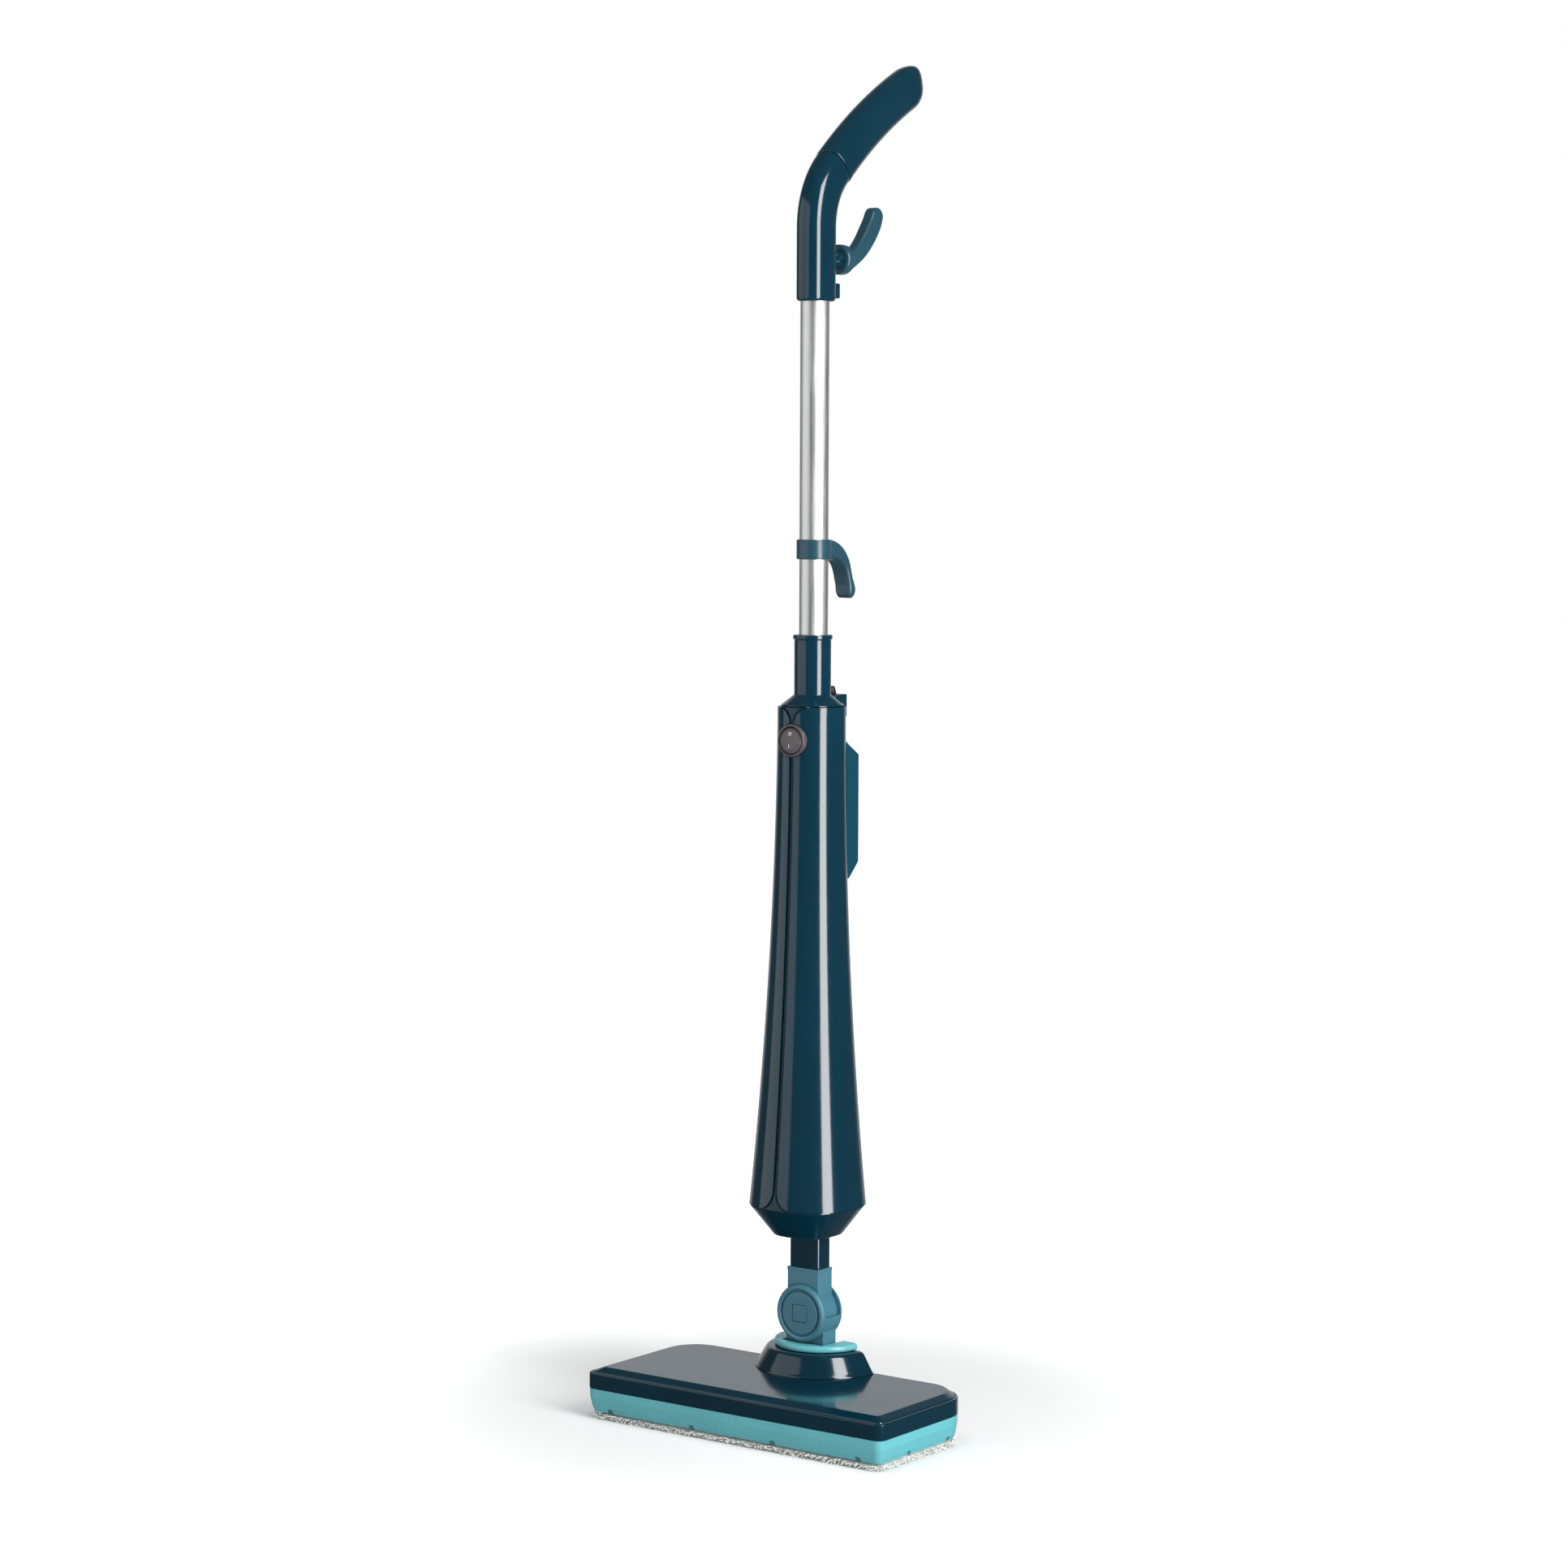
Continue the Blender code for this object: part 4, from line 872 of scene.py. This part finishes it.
def panel_edge(z):
    """How far the side panel's inner edge is from the middle at a height."""
    up = z - BODY_LOW
    down = BODY_TOP - z
    edge_x = SEAM_HALF
    if up < LOW_SWEEP:
        edge_x = SEAM_HALF + LOW_SWEEP - math.sqrt(LOW_SWEEP**2 - (LOW_SWEEP - up) ** 2)
    elif down < TOP_SWEEP:
        edge_x = SEAM_HALF + TOP_SWEEP - math.sqrt(TOP_SWEEP**2 - (TOP_SWEEP - down) ** 2)
    return edge_x


def height_steps(low, high, fine, count):
    """Heights that are close together near both ends."""
    ends = [fine * (1 - math.cos(math.pi / 2 * i / 12)) for i in range(13)]
    middle = [between(low + fine, high - fine, (i + 1) / count) for i in range(count - 1)]
    return [low + e for e in ends] + middle + [high - e for e in reversed(ends)]


def panel_row(z, side):
    """Points round the body from the panel's inner edge to the split line, at a height."""
    radius = body_radius(z)
    centre = body_centre(z)
    power = 2 / SQUARENESS
    start = math.asin(min((panel_edge(z) / radius) ** (1 / power), 1.0))
    last = (SPLIT_Y - 0.3 - centre) / radius
    stop = math.pi / 2 + math.asin(last ** (1 / power))
    row = []
    for i in range(57):
        a = between(start, stop, i / 56)
        x = abs(math.sin(a)) ** power
        y = -math.copysign(abs(math.cos(a)) ** power, math.cos(a))
        row.append((side * radius * x, centre + radius * y, z))
    return row


def thickened(obj, thickness, rim):
    """A surface given thickness inwards, with its rim rounded."""
    solidify = obj.modifiers.new("Solidify", "SOLIDIFY")
    solidify.thickness = thickness * MM
    solidify.offset = -1.0
    solidify.use_even_offset = True
    applied(obj)
    bm = bmesh.new()
    bm.from_mesh(obj.data)
    bmesh.ops.recalc_face_normals(bm, faces=bm.faces)
    if bm.calc_volume(signed=True) < 0:
        bmesh.ops.reverse_faces(bm, faces=bm.faces)
    bm.to_mesh(obj.data)
    bm.free()
    return bevelled(obj, rim, 3, 50)


def outward(obj):
    """Turns an open sheet's faces to point away from the body's middle line."""
    bm = bmesh.new()
    bm.from_mesh(obj.data)
    bm.faces.ensure_lookup_table()
    face = bm.faces[len(bm.faces) // 2]
    middle = face.calc_center_median()
    away = Vector((middle.x, middle.y + 0.004, 0.0))
    if face.normal.dot(away) < 0:
        bmesh.ops.reverse_faces(bm, faces=bm.faces)
    bm.to_mesh(obj.data)
    bm.free()
    return obj


def make_panels():
    heights = height_steps(BODY_LOW, BODY_TOP, 17.0, 44)
    for name, side in (("left_panel", -1), ("right_panel", 1)):
        panel = sheet(f"{name}_skin", [panel_row(z, side) for z in heights])
        thickened(outward(panel), 2.0, 0.55)
        hole = rod("hole", SWITCH_R + 0.7, (0, -60, SWITCH_Z), (0, -8, SWITCH_Z))
        boolean(panel, "DIFFERENCE", hole)
        dress(panel, name, angle=40)


def make_spine():
    """The strip between the panels, with its long recessed channel."""
    heights = height_steps(BODY_LOW + 0.3, BODY_TOP - 0.1, 20.0, 60)
    rows = []
    for z in heights:
        row = []
        for i in range(73):
            x = between(-SPINE_HALF, SPINE_HALF, i / 72)
            across = 1 - min(max((abs(x) - CHANNEL_HALF) / 1.0, 0.0), 1.0)
            along = min(max((z - BODY_LOW - CHANNEL_MARGIN_LOW) / CHANNEL_RUN_OUT, 0.0), 1.0)
            along *= min(max((BODY_TOP - CHANNEL_MARGIN_TOP - z) / CHANNEL_RUN_OUT, 0.0), 1.0)
            under = min(max((abs(x) - panel_edge(z) + 1.7) / 1.4, 0.0), 1.0)
            inset = between(between(0.5, 1.3, across * along), 2.5, under)
            row.append((x, front_y(x, z, inset), z))
        rows.append(row)
    spine = sheet("front_spine_skin", rows)
    thickened(outward(spine), 1.0, 0.2)
    seat = rod("seat", SWITCH_R + 0.3, (0, -60, SWITCH_Z), (0, -12, SWITCH_Z))
    boolean(spine, "DIFFERENCE", seat, own_folds=True)
    dress(spine, "front_spine", angle=50)


def make_rear_shell():
    shell = body_solid("rear_shell_skin", 0.0, BODY_LOW, BODY_TOP)
    inner = body_solid("inner", 2.4, BODY_LOW - 2.0, BODY_TOP + 2.0)
    boolean(shell, "DIFFERENCE", inner)
    half = box("half", (-70.0, SPLIT_Y, BODY_LOW - 3.0), (70.0, 80.0, BODY_TOP + 3.0))
    boolean(shell, "INTERSECT", half)
    tank_low, tank_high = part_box("water_tank")
    low = (tank_low.x / MM - 0.4, 6.0, tank_low.z / MM - 0.4)
    bay = box("bay", low, (tank_high.x / MM + 0.4, 60.0, tank_high.z / MM + 0.4))
    cap_half = half_width("tank_cap") + 0.9
    cap_bay = box("cap_bay", (-cap_half, 6.0, 586.0), (cap_half, 60.0, 603.0))
    seat = box("seat", (-9.4, 6.0, 606.7), (9.4, 60.0, BODY_TOP + 4.0))
    boolean(shell, "DIFFERENCE", bay, cap_bay, seat)
    dress(shell, "rear_shell", angle=35)


def make_neck_and_cone():
    def neck_ring(grow, z):
        outline = rounded_box_outline(-16 + grow, 16 - grow, -11.5 + grow, 9.5 - grow, 5, 5)
        return at_height(outline, z)

    neck = loft(
        "neck_tube",
        [neck_ring(0.6, NECK_LOW), neck_ring(0.0, NECK_LOW + 0.6), neck_ring(0.0, 180.0)],
    )
    dress(neck, "lower_neck", angle=40)

    wide = body_radius(BODY_LOW) - 2.4
    profile = rounded_profile(
        [(23.7, CONE_LOW), (26.7, CONE_LOW + 0.3), (wide - 0.3, 190.4), (wide - 0.3, 191.6)], 2.2, 7
    )
    rings = []
    for radius, z in profile:
        share = (z - CONE_LOW) / (BODY_LOW - CONE_LOW)
        centre = between(-3.6, -4.8, share)
        rings.append(superellipse(radius, radius, centre, z, 160, between(3.0, 2.3, share)))
    cone = loft("bottom_cone_skin", rings)
    dress(cone, "bottom_cone", angle=50)


def make_collar():
    profile = rounded_profile(
        [
            (POLE_R + 0.25, COLLAR_TOP - 0.6),
            (POLE_R + 0.6, COLLAR_TOP),
            (16.6, COLLAR_TOP),
            (17.1, COLLAR_TOP - 0.6),
            (17.1, COLLAR_TOP - 3.2),
            (16.7, COLLAR_TOP - 3.7),
            (16.0, COLLAR_TOP - 4.2),
            (16.0, 635.0),
            (27.0, BODY_TOP + 1.4),
            (27.3, BODY_TOP + 0.5),
            (26.0, BODY_TOP + 0.3),
            (POLE_R + 0.25, BODY_TOP + 0.3),
            (POLE_R + 0.25, COLLAR_TOP - 0.6),
        ],
        0.7,
    )
    collar = turned("neck_collar_skin", profile, (0.0, NECK_Y, 0.0), (0, 0, 1), ROUND_STEPS)
    seat = box("seat", (-9.4, 19.6, 620.0), (9.4, 40.0, 640.0))
    boolean(collar, "DIFFERENCE", seat)
    dress(collar, "neck_collar", angle=35)


def make_switch():
    centre = (0.0, SWITCH_FACE + 2.0, SWITCH_Z)
    bezel = turned(
        "switch_bezel_ring",
        rounded_profile(
            [
                (12.0, 1.6),
                (12.2, 2.6),
                (13.1, 2.9),
                (SWITCH_R, 2.0),
                (SWITCH_R, -3.2),
                (11.4, -3.2),
                (11.4, -12.0),
                (10.0, -12.0),
                (10.0, -3.0),
                (12.1, -1.6),
                (12.0, 1.6),
            ],
            0.5,
        ),
        centre,
        (0, -1, 0),
        ROUND_STEPS,
    )
    dress(bezel, "switch_bezel", angle=40)

    tilt = math.radians(SWITCH_TILT)
    facing = Vector((0, -math.cos(tilt), math.sin(tilt)))
    rocker = turned(
        "switch_rocker_cap",
        rounded_profile(
            [
                (0.0, 4.5),
                (5.0, 4.35),
                (9.0, 3.8),
                (10.9, 2.7),
                (11.6, 1.2),
                (11.6, 0.2),
                (9.0, -1.8),
                (0.0, -2.2),
            ],
            0.8,
        ),
        centre,
        facing,
        ROUND_STEPS,
    )
    dress(rocker, "switch_rocker", angle=50)
    up = Vector((0, math.sin(tilt), math.cos(tilt)))
    middle = Vector(centre)
    for name, height in (("mark_off", 5.2), ("mark_on", -5.2)):
        spot = middle + up * height + facing * 4.2
        if name == "mark_off":
            profile = [
                (LOOP_HALF + LOOP_LINE * math.cos(a), LOOP_LINE * math.sin(a))
                for a in circle(16)
            ]
            mark = turned(name, profile, spot, facing, 48)
        else:
            mark = box(name, (-0.28, -0.3, -1.5), (0.28, 0.3, 1.5))
            bevelled(mark, 0.15, 2)
            turn = Matrix.Translation(spot * MM) @ Matrix.Rotation(-tilt, 4, "X")
            mark.data.transform(turn)
        smooth(mark)
        mark.data.materials.append(MARK)
        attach(mark, "rocker")


def circle(count):
    """Angles once round, from 0 back to 0."""
    return [math.tau * i / count for i in range(count + 1)]


def make_tank_cap():
    cap = turned(
        "tank_cap_top",
        rounded_profile(
            [
                (0.0, 4.7),
                (9.2, 4.7),
                (10.0, 5.2),
                (12.6, 4.9),
                (14.2, 3.4),
                (14.5, 1.8),
                (14.0, 1.5),
                (7.8, 1.5),
                (7.8, -5.0),
                (0.0, -5.0),
            ],
            0.8,
        ),
        CAP_SEAT,
        CAP_OUT,
        ROUND_STEPS,
    )
    dress(cap, "tank_cap", angle=40)


# ---------------------------------------------------------------- pole, handle and hooks


def make_pole():
    low = edge("pole", Z, False)
    top = edge("pole", Z, True)
    inner = POLE_R - 1.2
    pole = turned(
        "pole_tube",
        [
            (inner, top),
            (POLE_R, top),
            (POLE_R, 900.0),
            (POLE_R, 780.0),
            (POLE_R, low),
            (inner, low),
            (inner, top),
        ],
        (0, 0, 0),
        (0, 0, 1),
        ROUND_STEPS,
    )
    dress(pole, "pole", angle=40)


def smooth_path(points, count):
    """Points on a Catmull-Rom curve through given points."""
    made = []
    pts = [Vector((*p, 0)) for p in points]
    pts = [pts[0] * 2 - pts[1]] + pts + [pts[-1] * 2 - pts[-2]]
    spans = len(pts) - 3
    for i in range(count):
        t = i / (count - 1) * spans
        k = min(int(t), spans - 1)
        t -= k
        a, b, c, d = pts[k : k + 4]
        second = (a * 2 - b * 5 + c * 4 - d) * t * t
        third = (b * 3 - a - c * 3 + d) * t**3
        p = (b * 2 + (c - a) * t + second + third) / 2
        made.append((p.x, p.y))
    return made


def make_lower_hook():
    ring = turned(
        "lower_hook_clip",
        rounded_profile(
            [
                (POLE_R + 0.2, CLIP_TOP - 0.4),
                (POLE_R + 0.6, CLIP_TOP),
                (14.4, CLIP_TOP),
                (15.0, CLIP_TOP - 0.6),
                (15.0, CLIP_LOW + 0.6),
                (14.4, CLIP_LOW),
                (POLE_R + 0.6, CLIP_LOW),
                (POLE_R + 0.2, CLIP_LOW + 0.4),
                (POLE_R + 0.2, CLIP_TOP - 0.4),
            ],
            0.4,
        ),
        (0, 0, 0),
        (0, 0, 1),
        ROUND_STEPS,
    )
    outer = (
        smooth_path([(8.0, CLIP_LOW + 0.4), (8.0, CLIP_TOP - 0.3)], 12)
        + smooth_path([(9.0, CLIP_TOP - 0.3), (17.0, CLIP_TOP - 0.3)], 8)
        + arc(13.0, 734.8, 33.1, 81, 14, 26)
        + smooth_path([(47.2, 736.0), (49.8, 729.0), (51.6, 721.6)], 8)
        + arc(47.2, 720.2, 4.5, 8, -172, 18)
        + smooth_path(
            [(41.9, 727.0), (39.3, 737.0), (35.5, 744.6), (29.6, 749.4), (22.0, CLIP_LOW + 0.3)],
            30,
        )
        + smooth_path([(20.0, CLIP_LOW + 0.4), (9.0, CLIP_LOW + 0.4)], 10)
    )

    def paddle(x, y, z):
        """Rounds the tip off towards its sides."""
        low = min(max((734.0 - z) / 14.0, 0.0), 1.0)
        return x, y, z + 7.0 * low * (1 - math.sqrt(max(1 - abs(x / 8.95) ** 2.6, 0.0)))

    arm = pillow("arm", outer, 8.9, 3.3, paddle)
    bore = rod("bore", POLE_R + 0.2, (0, 0, CLIP_LOW - 5), (0, 0, CLIP_TOP + 5))
    boolean(arm, "DIFFERENCE", bore)
    boolean(ring, "UNION", arm)
    dress(ring, "lower_cord_hook", look=HOOK_TEAL, angle=40)


def handle_spot(run):
    """The handle's centre and lean angle at a length along it, measured from its lower end."""
    if run <= STRAIGHT_RUN:
        return HANDLE_Y, HANDLE_LOW + run, 0.0
    turn = min(run - STRAIGHT_RUN, BEND_RUN) / HANDLE_BEND_R
    lean = turn + max(run - STRAIGHT_RUN - BEND_RUN, 0.0) / GRIP_R
    y = HANDLE_Y + HANDLE_BEND_R * (1 - math.cos(turn))
    z = HANDLE_BEND_Z + HANDLE_BEND_R * math.sin(turn)
    y += GRIP_R * (math.cos(turn) - math.cos(lean))
    z += GRIP_R * (math.sin(lean) - math.sin(turn))
    return y, z, lean


def handle_ring(run, inset):
    """The handle narrows along the grip, and its tip is cut at a slant."""
    y, z, lean = handle_spot(run)
    along = min(max((run - STRAIGHT_RUN - BEND_RUN) / GRIP_RUN, 0.0), 1.0)
    half_x = between(HANDLE_HALF_X, GRIP_HALF_X, along)
    slant = TIP_SLANT * min(max((run - TIP_RUN) / TIP_SLANT_RUN + 1, 0.0), 1.0)
    ring = []
    for px, py, _ in superellipse(half_x - inset, HANDLE_HALF_Y - inset, 0, 0, 96, 2.5):
        ahead = -slant * py
        dy = py * math.cos(lean) + ahead * math.sin(lean)
        dz = ahead * math.cos(lean) - py * math.sin(lean)
        ring.append((px, y + dy, z + dz))
    return ring


def handle_solid(name, stations):
    return loft(name, [handle_ring(run, inset) for run, inset in stations])


def evenly(start, end, inset, count):
    return [(between(start, end, i / (count - 1)), inset) for i in range(count)]


def make_handle():
    seam = STRAIGHT_RUN + BEND_RUN + SEAM_RUN
    outside = (
        [(0.0, 2.4), (0.25, 1.5), (0.9, 0.7), (1.8, 0.15), (3.0, 0.0)]
        + evenly(12.0, STRAIGHT_RUN, 0.0, 5)
        + evenly(STRAIGHT_RUN + 2.0, seam - 0.9, 0.0, 30)
        + [(seam - 0.5, 0.4), (seam - 0.45, 2.6), (seam + 12.0, 2.6)]
    )
    for name, side in (("handle_left_shell", -1), ("handle_right_shell", 1)):
        shell = handle_solid(f"{name}_skin", outside)
        ends = sorted((side * 0.12, side * 40.0))
        half = box("half", (ends[0], -60.0, 960.0), (ends[1], 200.0, 1250.0))
        boolean(shell, "INTERSECT", half)
        low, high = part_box("release_button")
        way_in = (0.3, 0.3 + BUTTON_TRAVEL, 0.3)
        slot = box(
            "slot",
            [c / MM - gap for c, gap in zip(low, way_in)],
            [c / MM + 0.3 for c in high],
        )
        bore = rod("bore", POLE_R + 0.15, (0, 0, HANDLE_LOW - 5), (0, 0, HANDLE_LOW + 38))
        boolean(shell, "DIFFERENCE", slot, bore)
        bevelled(shell, 0.25, 2, 60)
        dress(shell, name, angle=40)
    start = TIP_RUN - TIP_ROUND
    grip = (
        [(seam, 1.2), (seam + 0.1, 0.2), (seam + 0.5, -0.3), (seam + 1.2, -0.5)]
        + evenly(seam + 5.0, start, -0.5, 44)
        + [round_end(start, math.pi / 2 * (i + 1) / 20) for i in range(20)]
    )
    cover = handle_solid("grip_cover_skin", grip)
    dress(cover, "grip_cover", angle=40)


def round_end(start, angle):
    """A station on the grip's rounded end."""
    return start + TIP_ROUND * math.sin(angle), -0.5 + 10.5 * (1 - math.cos(angle))


def make_upper_hook():
    hub = turned(
        "upper_hook_arm",
        rounded_profile(
            [(0.0, 10.8), (5.0, 10.8), (11.7, 10.5), (13.0, 9.0), (13.0, 1.6), (11.6, 0.0)]
            + [(0.0, 0.0)],
            1.4,
        ),
        (0, HUB_FRONT, HOOK_Z),
        (0, 1, 0),
        ROUND_STEPS,
    )
    outer = smooth_path(
        [(36.0, 998.5), (42.5, 997.2), (50.0, 1001.0), (64.0, 1009.0), (73.0, 1016.0)]
        + [(80.5, 1023.5), (87.0, 1031.5), (92.0, 1039.5), (94.6, 1047.0)],
        56,
    )
    tip = arc(86.5, 1047.5, 8.3, 4, 150, 16)
    inner = smooth_path(
        [(76.0, 1045.6), (70.5, 1038.0), (62.0, 1027.0), (52.0, 1018.0), (44.0, 1014.2)]
        + [(36.0, 1014.0)],
        40,
    )
    arm = pillow("arm", outer + tip + inner, 5.4, 2.4)
    boolean(hub, "UNION", arm)
    way = rod("way", 4.4, (0, 37.0, HOOK_Z), (0, 70, HOOK_Z), 64)
    boolean(hub, "DIFFERENCE", way)
    dress(hub, "cord_hook", look=HOOK_TEAL, angle=40)


# ---------------------------------------------------------------- studio

FLOOR_REACH = 12000.0
SWEEP_WAY = (-0.593, 0.805, 0.0)
CAMERA_PLACE = (1.93124, -2.66718, 0.82521)
CAMERA_LENS = 87.8
CAMERA_HEADING = 36.34
CAMERA_PITCH = -4.652
CAMERA_ROLL = 0.229


def make_button_spring():
    """The button spring, smooth-shaded, with a mesh of its own."""
    spring = refined_copy("button_spring")
    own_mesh(spring)


def area_light(name, place, target, width, height, power, mirrored=True):
    data = bpy.data.lights.new(name, "AREA")
    data.shape = "RECTANGLE"
    data.size = width
    data.size_y = height
    data.energy = power
    light = bpy.data.objects.new(name, data)
    light.location = place
    aim = Vector(target) - Vector(place)
    light.rotation_euler = aim.to_track_quat("-Z", "Y").to_euler()
    light.visible_glossy = mirrored
    bpy.context.scene.collection.objects.link(light)


def make_world():
    """White to the camera; in reflections a dim room, with the white sweep's glow behind."""
    world = bpy.data.worlds.new("studio")
    bpy.context.scene.world = world
    world.use_nodes = True
    tree = world.node_tree
    room = tree.nodes["Background"]
    room.inputs["Color"].default_value = (0.95, 0.98, 1.0, 1.0)
    facing = tree.nodes.new("ShaderNodeVectorMath")
    facing.operation = "DOT_PRODUCT"
    facing.inputs[1].default_value = SWEEP_WAY
    tree.links.new(tree.nodes.new("ShaderNodeTexCoord").outputs["Generated"], facing.inputs[0])
    glow = tree.nodes.new("ShaderNodeMapRange")
    glow.interpolation_type = "SMOOTHSTEP"
    glow.inputs["From Min"].default_value = 0.7
    glow.inputs["From Max"].default_value = 0.92
    glow.inputs["To Min"].default_value = 0.08
    glow.inputs["To Max"].default_value = 0.6
    tree.links.new(facing.outputs["Value"], glow.inputs["Value"])
    tree.links.new(glow.outputs["Result"], room.inputs["Strength"])
    backdrop = tree.nodes.new("ShaderNodeBackground")
    backdrop.inputs["Color"].default_value = (1.0, 1.0, 1.0, 1.0)
    mix = tree.nodes.new("ShaderNodeMixShader")
    path = tree.nodes.new("ShaderNodeLightPath")
    tree.links.new(path.outputs["Is Camera Ray"], mix.inputs[0])
    tree.links.new(room.outputs[0], mix.inputs[1])
    tree.links.new(backdrop.outputs[0], mix.inputs[2])
    tree.links.new(mix.outputs[0], tree.nodes["World Output"].inputs["Surface"])


def make_studio():
    bpy.context.scene.view_settings.view_transform = "Standard"
    make_world()
    ends = (-FLOOR_REACH, FLOOR_REACH)
    floor = sheet("floor", [[(x, y, 0.0) for x in ends] for y in ends])
    floor.data.materials.append(floor_material())
    floor.visible_glossy = False
    area_light("key_strip", (1.62, -0.36, 0.95), (0.0, 0.0, 0.6), 0.72, 2.5, 60.0)
    area_light("fill_left", (-1.26, -1.55, 0.9), (0.0, 0.0, 0.5), 2.6, 2.2, 14.0)
    area_light("overhead", (0.2, -0.3, 2.9), (0.0, 0.0, 0.0), 2.6, 2.6, 70.0, mirrored=False)


def make_camera():
    """The view from the front right, with the horizon a little above the foot."""
    data = bpy.data.cameras.new("photo_view")
    data.sensor_width = 36.0
    data.lens = CAMERA_LENS
    camera = bpy.data.objects.new("photo_view", data)
    heading = math.radians(CAMERA_HEADING)
    pitch = math.radians(CAMERA_PITCH)
    roll = math.radians(CAMERA_ROLL)
    turn = Matrix.Rotation(heading, 4, "Z") @ Matrix.Rotation(math.pi / 2 + pitch, 4, "X")
    turn = turn @ Matrix.Rotation(roll, 4, "Z")
    camera.matrix_world = Matrix.Translation(CAMERA_PLACE) @ turn
    bpy.context.scene.collection.objects.link(camera)
    bpy.context.scene.camera = camera


make_studio()
make_camera()
dress_cad_nodes()
make_foot_cover()
make_foot_skirt()
make_pad()
make_dome()
make_yokes()
make_panels()
make_spine()
make_rear_shell()
make_neck_and_cone()
make_collar()
make_switch()
make_tank_cap()
make_pole()
make_lower_hook()
make_handle()
make_upper_hook()
make_button_spring()
for node in ("water_tank", "cord_block", "cord_gland", "release_button", "hook_boss", "hook_screw"):
    refined_copy(node)
